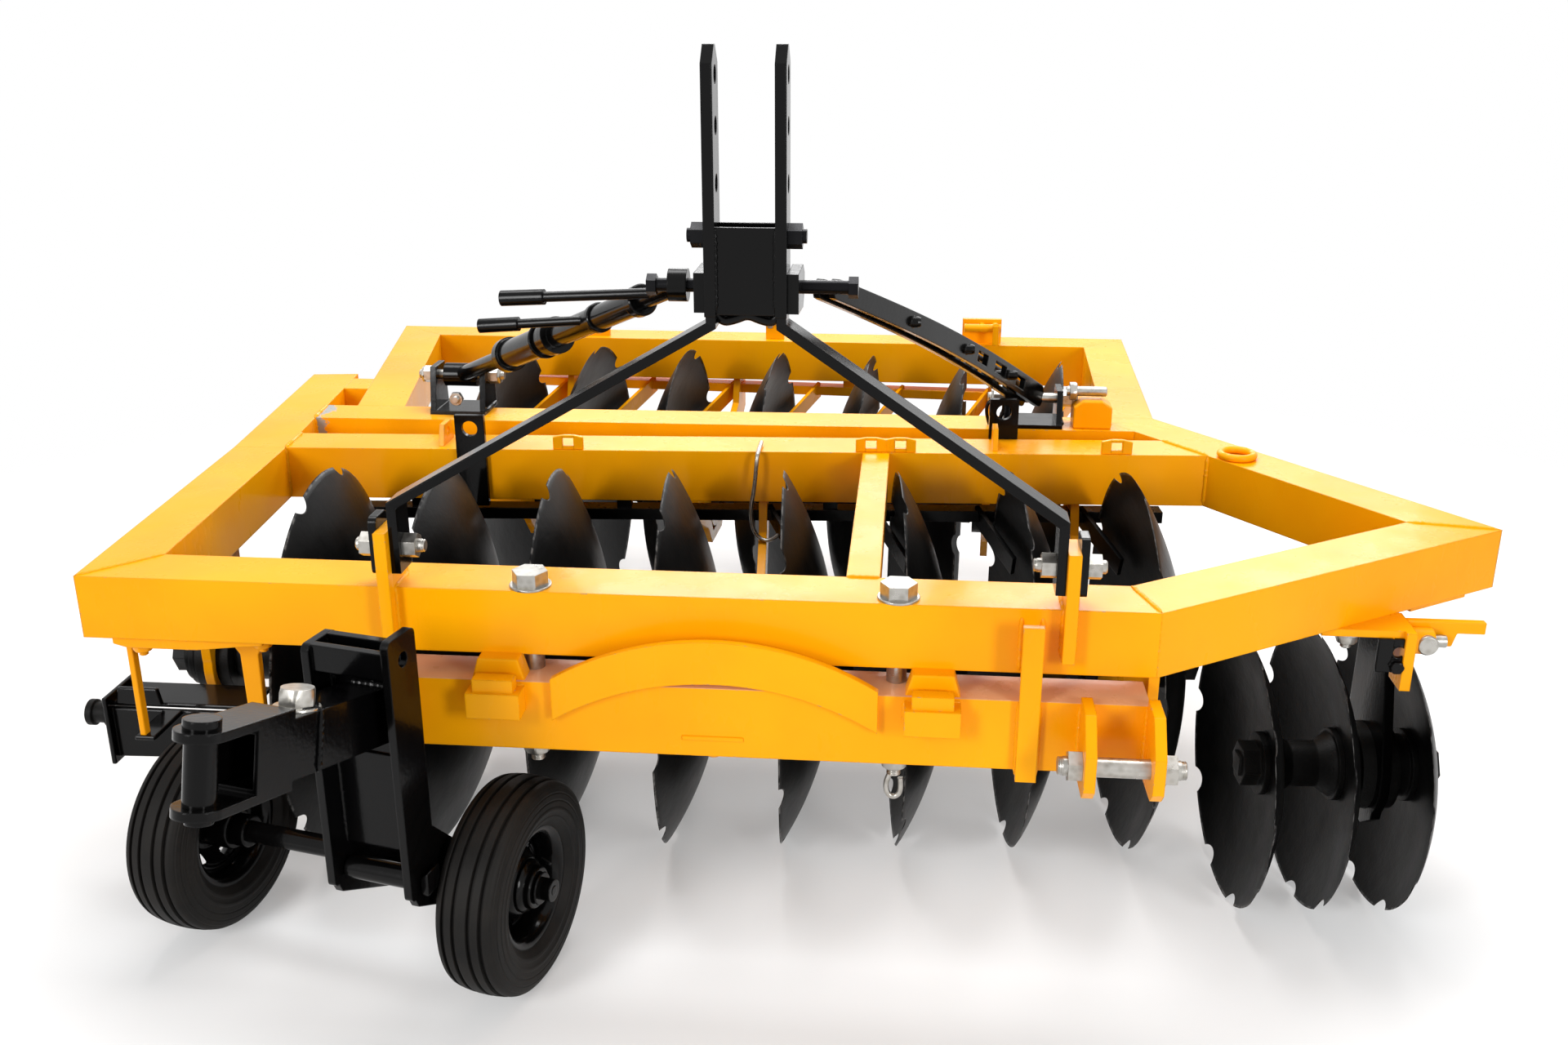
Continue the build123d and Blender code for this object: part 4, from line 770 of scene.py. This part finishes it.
# ---- left end of the front gang -------------------------------------------
def gang_end_box():
    """The bearing guard at the front gang's left end: a folded black box with a flange and a boss."""
    bm = bmesh.new()
    slab(bm, [(-1060, 150, 232), (-1060, 150, 322), (-820, 150, 322), (-820, 150, 238)], (0, 1, 0), 10)
    slab(bm, [(-1060, 160, 322), (-1060, 238, 322), (-820, 238, 322), (-820, 160, 322)], (0, 0, 1), 8)
    slab(bm, [(-1066, 136, 224), (-1058, 136, 224), (-1058, 136, 346), (-1066, 136, 346)], (0, 1, 0), 110)
    slab(bm, [(-1050, 150, 330), (-970, 150, 330), (-976, 150, 360), (-1044, 150, 360)], (0, 1, 0), 9)
    slab(bm, [(-970, 56, 316), (-936, 56, 316), (-936, 56, 324), (-970, 56, 324)], (0, 1, 0), 96)
    box = from_bmesh("gang_end_box", bm, "black_paint", "frame", smooth=False, bevel=0.0025)
    ring = bmesh.new()
    place = along_axis(at(-1066, 176, 300), (-1, 0, 0))
    outline = [(0, 0.2), (0, 22), (6, 24), (12, 24), (14, 18), (34, 17), (36, 22), (46, 22), (48, 12),
               (48, 0.2)]
    lathe(ring, outline, place, 40, closed=False)
    boss = from_bmesh("gang_end_boss", ring, "cast_iron", "frame")
    tip = bmesh.new()
    threaded(tip, at(-1112, 176, 300), (-1, 0, 0), 9, 8)
    return box, boss, from_bmesh("gang_end_stud", tip, "zinc", "frame")


def gang_end_straps():
    """The bolted flange and the straps that hold the guard under the front beam."""
    bm = bmesh.new()
    flange = [(-952, 10, 520), (-715, 10, 520), (-715, 10, 511), (-760, 10, 507), (-820, 10, 500),
              (-930, 10, 500), (-952, 10, 506)]
    slab(bm, flange, (0, 1, 0), 84)
    slab(bm, [(-962, 60, 322), (-952, 60, 322), (-952, 60, 520), (-962, 60, 520)], (0, 1, 0), 16)
    leg = [(-779, 66, 330), (-753, 66, 330), (-751, 66, 470), (-730, 66, 508), (-806, 66, 508),
           (-781, 66, 470)]
    slab(bm, leg, (0, 1, 0), 14)
    straps = from_bmesh("gang_end_straps", bm, "yellow_paint", "frame", smooth=False, bevel=0.002)
    nuts = bmesh.new()
    for x, y, z in ((-918, 34, 500), (-860, 60, 500), (-728, 40, 511)):
        hex_nut(nuts, at(x, y, z), (0, 0, -1), 15, 13)
        threaded(nuts, at(x, y, z - 13), (0, 0, -1), 7, 8)
    return straps, from_bmesh("gang_end_nuts", nuts, "yellow_paint", "frame")


# ---- right wing -----------------------------------------------------------
def wing_gusset():
    """The stepped gusset beside the wing plate, and the barrel round its pin."""
    bm = bmesh.new()
    outline = [(1030, 244, 520), (1150, 244, 520), (1150, 244, 500), (1108, 244, 500), (1102, 244, 478),
               (1030, 244, 478)]
    slab(bm, outline, (0, 1, 0), 14)
    plate = from_bmesh("wing_gusset", bm, "yellow_paint", "frame", smooth=False, bevel=0.002)
    ring = bmesh.new()
    place = along_axis(at(1034, 235, 491), (1, 0, 0))
    lathe(ring, [(0, 13), (0, 19), (2, 21), (32, 21), (34, 19), (34, 13)], place, 40)
    barrel = from_bmesh("wing_pin_barrel", ring, "yellow_paint", "frame")
    head = bmesh.new()
    place = along_axis(at(1056, 222, 491), (0, -1, 0))
    lathe(head, [(0, 0.2), (0, 16), (7, 16), (9, 14), (9, 0.2)], place, 36, closed=False)
    return plate, barrel, from_bmesh("wing_pin_head", head, "zinc", "frame")


def wing_plate_nuts():
    zinc = bmesh.new()
    hex_nut(zinc, at(934, 222, 506), (0, 0, -1), 17, 15)
    threaded(zinc, at(934, 222, 491), (0, 0, -1), 8.5, 9)
    lathe(zinc, [(0, 9), (0, 21), (3, 21), (3, 9)], along_axis(at(934, 222, 509), (0, 0, -1)), 32)
    nut = from_bmesh("wing_plate_nut_zinc", zinc, "zinc", "frame")
    painted = bmesh.new()
    hex_nut(painted, at(1002, 214, 508), (0, 0, -1), 17, 14)
    hex_nut(painted, at(905, 262, 508), (0, 0, -1), 15, 13)
    return nut, from_bmesh("wing_plate_nuts", painted, "yellow_paint", "frame")


def wing_bracket():
    """The small black bracket under the wing plate, with its round hole and nut."""
    bm = bmesh.new()
    place = along_axis(at(1008, 196, 486), (0, 1, 0))
    hole = [(0, 9), (0, 12), (8, 12), (8, 9)]
    lathe(bm, hole, place, 32)
    slab(bm, [(976, 196, 508), (998, 196, 508), (998, 196, 452), (976, 196, 452)], (0, 1, 0), 8)
    slab(bm, [(1018, 196, 508), (1030, 196, 508), (1030, 196, 452), (1018, 196, 452)], (0, 1, 0), 8)
    slab(bm, [(998, 196, 508), (1018, 196, 508), (1018, 196, 495), (998, 196, 495)], (0, 1, 0), 8)
    slab(bm, [(998, 196, 477), (1018, 196, 477), (1018, 196, 452), (998, 196, 452)], (0, 1, 0), 8)
    hex_nut(bm, at(1006, 197, 463), (0, -1, 0), 11, 10)
    return from_bmesh("wing_bracket", bm, "black_paint", "frame", smooth=False, bevel=0.0012)


def wing_tip_plates():
    """Doubled corner plates at the wing's tip."""
    bm = bmesh.new()
    for low, high in ((524, 566), (572, 616)):
        slab(bm, [(1190, 392, low), (1210, 405, low), (1150, 487, low), (1134, 474, low)], (0, 0, 1),
             high - low)
    return from_bmesh("wing_tip_plates", bm, "yellow_paint", "frame", smooth=False, bevel=0.002)


# ---- small pieces on the beams --------------------------------------------
def beam_blocks():
    """Blocks between the front beam and the hitch beam, a raised strip and a nub below it."""
    bm = bmesh.new()
    for x in (-343, 293):
        outline = [(x - 40, -26, 488), (x + 40, -26, 488), (x + 30, -26, 522), (x - 30, -26, 522)]
        slab(bm, outline, (0, 1, 0), 34)
    slab(bm, [(-72, -32.5, 405), (20, -32.5, 405), (20, -32.5, 413), (-72, -32.5, 413)], (0, 1, 0), 4)
    blocks = from_bmesh("beam_blocks", bm, "yellow_paint", "frame", smooth=False, bevel=0.0025)
    nub = bmesh.new()
    lathe(nub, [(-1, 0.2), (-1, 20), (6, 17), (12, 10), (14, 0.2)],
          along_axis(at(-28, -4, 381), (0, 0, -1)), 32, False)
    return blocks, from_bmesh("beam_nub", nub, "yellow_paint", "frame")


def tab_with_hole(bm, x, y, run, width=58, high=28):
    """A small tab with a hole, standing on a beam along the plan direction run."""
    direction = Vector((*run, 0)).normalized()
    middle = Vector((x, y, 0))
    spans = ((-0.5, -0.18, 0, 1), (0.18, 0.5, 0, 1), (-0.18, 0.18, 0, 0.25), (-0.18, 0.18, 0.8, 1))
    for a, b, low, high_share in spans:
        p, q = middle + direction * a * width, middle + direction * b * width
        cut = 4 if high_share == 1 else 0
        z0, z1 = TOP + low * high, TOP + high_share * high
        left, right = (cut if a == -0.5 else 0), (cut if b == 0.5 else 0)
        outline = [(p.x, p.y, z0), (q.x, q.y, z0), (q.x, q.y, z1 - right), (p.x, p.y, z1 - left)]
        slab(bm, outline, Vector((-direction.y, direction.x, 0)), 9)


def cross_beam_tabs():
    bm = bmesh.new()
    run = (1916, 111)
    for x in (-402, 176, 232, 640):
        tab_with_hole(bm, x, 670 + (x + 1046) * 0.058 + 4, run)
    return from_bmesh("cross_beam_tabs", bm, "yellow_paint", "frame", smooth=False, bevel=0.0012)


def rear_beam_fittings():
    """Bolts on the middle bracket and the T handle of the right one."""
    zinc = bmesh.new()
    for x in (-112, -88):
        hex_nut(zinc, at(x, 1716, 656), (0, -1, 0), 9, 7)
    bolts = from_bmesh("rear_bracket_bolts", zinc, "zinc", "frame")
    handle = rope_of("rear_t_handle", [at(452, 1716, 664), at(452, 1690, 668), at(452, 1660, 672)], 9,
                     "yellow_paint", "frame")
    grip = rope_of("rear_t_grip", [at(452, 1660, 628), at(452, 1660, 650), at(452, 1660, 676)], 8,
                   "yellow_paint", "frame")
    return bolts, handle, grip


def mast_tie():
    """The bent rod that ties the two mast plates above the braces."""
    points = [at(-30, 112, 1012), at(-22, 112, 1000), at(-4, 112, 1004), at(15, 112, 1012),
              at(34, 112, 1004), at(52, 112, 1000), at(60, 112, 1012)]
    return rope_of("mast_tie", points, 8, "black_paint", "frame")


def stay_loops():
    """Two wire loops at the foot of the right stay."""
    loops = []
    for i, (x, lean) in enumerate(((408, -10), (424, 12))):
        points = [at(x, 958, 622), at(x + lean, 956, 650), at(x + lean + 10, 955, 676),
                  at(x + 30, 955, 668), at(x + 24, 957, 640), at(x + 14, 958, 622)]
        loops.append(rope_of(f"stay_loop_{i}", points, 3.4, "black_paint", "frame"))
    return loops


# ---- stays ----------------------------------------------------------------
def stay_collars():
    """Turned collars, lock rings and grips on the screw stay."""
    top, foot = at(-93, 172, 1040), at(-686, 985, 694)
    run = (foot - top).normalized()
    bm = bmesh.new()
    for start, length, r in ((0.128, 22, 25), (0.300, 16, 25), (0.520, 20, 31), (0.560, 10, 33),
                             (0.745, 24, 31)):
        profile = [(0, r - 7), (0, r - 2), (2, r), (length - 2, r), (length, r - 2), (length, r - 7)]
        lathe(bm, profile, along_axis(top + run * start, run), 48)
    return from_bmesh("screw_stay_collars", bm, "black_paint", "frame")


def bowed_bar(bm, x_top, x_foot, slots):
    """One bar of the right stay: a bowed flat with rounded ends and oval slots, standing on edge."""
    top, foot = Vector((x_top, 172, 1040)), Vector((x_foot, 985, 672))
    run = foot - top
    length = run.length
    along_bar = run.normalized()
    up = Vector((0, 0, 1)) - along_bar * along_bar.z
    up.normalize()
    thick = Vector((1, 0, 0)) - along_bar * along_bar.x
    thick = (thick - up * thick.dot(up)).normalized() * 11

    def edge(t):
        """Middle offset and half height of the bar at share t of its length."""
        return 14 * math.sin(math.pi * t), 15 + 7 * t

    columns = 96
    rows = 12
    grid = {}
    for side in (-0.5, 0.5):
        for i in range(columns + 1):
            t = i / columns
            bow, half = edge(t)
            end = min(t, 1 - t) * length
            if end < half:
                half = math.sqrt(max(4.0, half * half - (half - end) ** 2))
            for j in range(rows + 1):
                share = 2 * j / rows - 1
                spot = top + run * t + up * (bow + half * share) + thick * side
                grid[side, i, j] = bm.verts.new(at(*spot))

    def open_cell(i, j):
        t, share = (i + 0.5) / columns, 2 * (j + 0.5) / rows - 1
        return any(a < t < b and abs(share) < 0.42 for a, b in slots)

    for i in range(columns):
        for j in range(rows):
            if open_cell(i, j):
                continue
            quad = ((i, j), (i + 1, j), (i + 1, j + 1), (i, j + 1))
            bm.faces.new([grid[-0.5, a, b] for a, b in quad])
            bm.faces.new([grid[0.5, a, b] for a, b in reversed(quad)])
            for k, (a, b) in enumerate(((i, j - 1), (i + 1, j), (i, j + 1), (i - 1, j))):
                outside = not (0 <= a < columns and 0 <= b < rows)
                if outside or open_cell(a, b):
                    p, q = quad[k], quad[(k + 1) % 4]
                    bm.faces.new((grid[-0.5, *q], grid[-0.5, *p], grid[0.5, *p], grid[0.5, *q]))


def right_stay_bars():
    """The twin bars of the right stay with their spacers, in place of the plain bars."""
    bm = bmesh.new()
    slots = ((0.60, 0.66), (0.70, 0.76), (0.82, 0.87))
    bowed_bar(bm, 107, 477, slots)
    bowed_bar(bm, 129, 511, slots)
    for t in (0.30, 0.55, 0.785):
        spot = [a + (b - a) * t for a, b in zip((96, 172, 1040), (466, 985, 672))]
        spot[2] += 14 * math.sin(math.pi * t)
        place = along_axis(at(*spot), (1, 0, 0))
        wide = 44 + 16 * t
        lathe(bm, [(-6, 0.2), (-6, 7), (-1, 9), (wide + 1, 9), (wide + 6, 7), (wide + 6, 0.2)], place, 24,
              False)
    bars = from_bmesh("right_stay_bars", bm, "black_paint", "frame", smooth=False, bevel=0.002)
    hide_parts("right_stay")
    return bars


def stay_fasteners():
    """Nut chamfers and thread ends at both ends of the stays, and a nut and thread end beside the left one."""
    bm = bmesh.new()
    for x, z in ((-686, 694), (494, 672)):
        for side in (-1, 1):
            hex_nut(bm, at(x + side * 78, 985, z), (side, 0, 0), 17.5, 5)
            threaded(bm, at(x + side * 83, 985, z), (side, 0, 0), 9.5, 7)
    hex_nut(bm, at(-686, 939, 655), (0, -1, 0), 15, 10)
    threaded(bm, at(-686, 929, 655), (0, -1, 0), 8, 7)
    return from_bmesh("stay_fasteners", bm, "zinc", "frame")


def right_stop_block():
    """The yellow stop beside the right stay, with its galvanised pin."""
    bm = bmesh.new()
    slab(bm,
         [(574, 945, TOP), (650, 945, TOP), (650, 945, 664), (632, 945, 676), (592, 945, 676),
          (574, 945, 664)],
         (0, 1, 0), 58)
    block = from_bmesh("right_stop_block", bm, "yellow_paint", "frame", smooth=False, bevel=0.003)
    pin = bmesh.new()
    place = along_axis(at(560, 974, 690), (1, 0, 0))
    lathe(pin, [(0, 0.2), (0, 9), (2, 10), (78, 10), (80, 8), (80, 0.2)], place, 32, closed=False)
    hex_nut(pin, at(566, 974, 690), (1, 0, 0), 19, 14)
    return block, from_bmesh("right_stop_pin", pin, "zinc", "frame")


DETAILS = (
    frame_welds, mast_welds, bolt_ends, hitch_pin_details, u_eye, wire_hook, cart_welds, arm_root_plate,
    arm_bolt, axle_tie, gang_end_box, gang_end_straps, wing_gusset, wing_plate_nuts, wing_bracket,
    wing_tip_plates, beam_blocks, cross_beam_tabs, rear_beam_fittings, mast_tie, stay_loops,
    stay_collars, right_stay_bars, stay_fasteners, right_stop_block,
)
for build in DETAILS:
    build()
for wheel in ("left_wheel", "right_wheel"):
    ribbed_tyre(wheel)
    pressed_rim(wheel)
axle_ends()


# ---- stage ----------------------------------------------------------------
def floor_material():
    """Pale studio floor that fades out to the white backdrop."""
    n = Nodes("studio_floor")
    n.shader.inputs["Base Color"].default_value = (0.93, 0.93, 0.93, 1)
    n.shader.inputs["Roughness"].default_value = 0.75
    n.shader.inputs["Specular IOR Level"].default_value = 0.15
    grain = n.noise(3, 3, 0.5)
    n.surface(((grain, "Fac", 0.0004),), 0)
    clear = n.add("ShaderNodeBsdfTransparent")
    blend = n.add("ShaderNodeMixShader")
    mapping = n.add("ShaderNodeMapping")
    mapping.inputs["Scale"].default_value = (0.30, 0.30, 0.30)
    n.link(n.coords, "Object", mapping, "Vector")
    ball = n.add("ShaderNodeTexGradient", gradient_type="SPHERICAL")
    n.link(mapping, "Vector", ball, "Vector")
    fade = n.ramp(ball, "Fac", ((0.04, (0, 0, 0)), (0.42, (0.74, 0.74, 0.74))))
    n.link(fade, "Color", blend, "Fac")
    n.link(clear, "BSDF", blend, 1)
    n.tree.links.new(n.shader.outputs["BSDF"], blend.inputs[2])
    n.tree.links.new(blend.outputs[0], n.out.inputs["Surface"])
    return n.material


def studio_floor():
    mesh = bpy.data.meshes.new("studio_floor")
    bm = bmesh.new()
    bmesh.ops.create_circle(bm, cap_ends=True, segments=96, radius=5)
    bm.to_mesh(mesh)
    bm.free()
    mesh.materials.append(floor_material())
    piece = bpy.data.objects.new("studio_floor", mesh)
    bpy.context.scene.collection.objects.link(piece)
    piece.location = (0, 0, 0)
    return piece


def area_light(name, place, aim, size, power, colour=(1, 1, 1)):
    data = bpy.data.lights.new(name, "AREA")
    data.shape = "RECTANGLE"
    data.size, data.size_y = size
    data.energy = power
    data.color = colour
    light = bpy.data.objects.new(name, data)
    light.location = place
    light.rotation_euler = (Vector(aim) - Vector(place)).to_track_quat("-Z", "Y").to_euler()
    bpy.context.scene.collection.objects.link(light)
    return light


def white_world(strength):
    world = bpy.data.worlds.new("white")
    bpy.context.scene.world = world
    world.use_nodes = True
    tree = world.node_tree
    tree.nodes.clear()
    out = tree.nodes.new("ShaderNodeOutputWorld")
    seen = tree.nodes.new("ShaderNodeBackground")
    lit = tree.nodes.new("ShaderNodeBackground")
    seen.inputs["Color"].default_value = (1, 1, 1, 1)
    lit.inputs["Color"].default_value = (1, 1, 1, 1)
    lit.inputs["Strength"].default_value = strength
    mix = tree.nodes.new("ShaderNodeMixShader")
    path = tree.nodes.new("ShaderNodeLightPath")
    camera_or_glossy = tree.nodes.new("ShaderNodeMath")
    any_seen = tree.nodes.new("ShaderNodeMath")
    for node, first, second in (
        (camera_or_glossy, path.outputs["Is Camera Ray"], path.outputs["Is Glossy Ray"]),
        (any_seen, camera_or_glossy.outputs[0], path.outputs["Is Transmission Ray"]),
    ):
        node.operation = "MAXIMUM"
        tree.links.new(first, node.inputs[0])
        tree.links.new(second, node.inputs[1])
    tree.links.new(any_seen.outputs[0], mix.inputs[0])
    tree.links.new(lit.outputs[0], mix.inputs[1])
    tree.links.new(seen.outputs[0], mix.inputs[2])
    tree.links.new(mix.outputs[0], out.inputs[0])


studio_floor()
white_world(0.42)
area_light("overhead", (0, 0.9, 4.0), (0, 0, 0.3), (4.0, 1.6), 165)
area_light("back_top", (0.4, 5.0, 3.0), (0, -0.2, 0.4), (5.0, 1.4), 150)
area_light("front_left", (-2.6, -4.2, 2.2), (0, -0.2, 0.5), (1.0, 2.0), 115)
area_light("front_right", (3.0, -3.6, 1.6), (0.3, -0.2, 0.5), (0.8, 1.6), 85)

camera_data = bpy.data.cameras.new("camera")
camera_data.sensor_width = 36
camera_data.lens = 33.75
camera = bpy.data.objects.new("camera", camera_data)
camera.location = at(250, -1940, 1431)
camera.rotation_euler = (math.radians(90 - 19.57), 0, math.radians(5.11))
bpy.context.scene.collection.objects.link(camera)
bpy.context.scene.camera = camera
bpy.context.scene.view_settings.view_transform = "Standard"
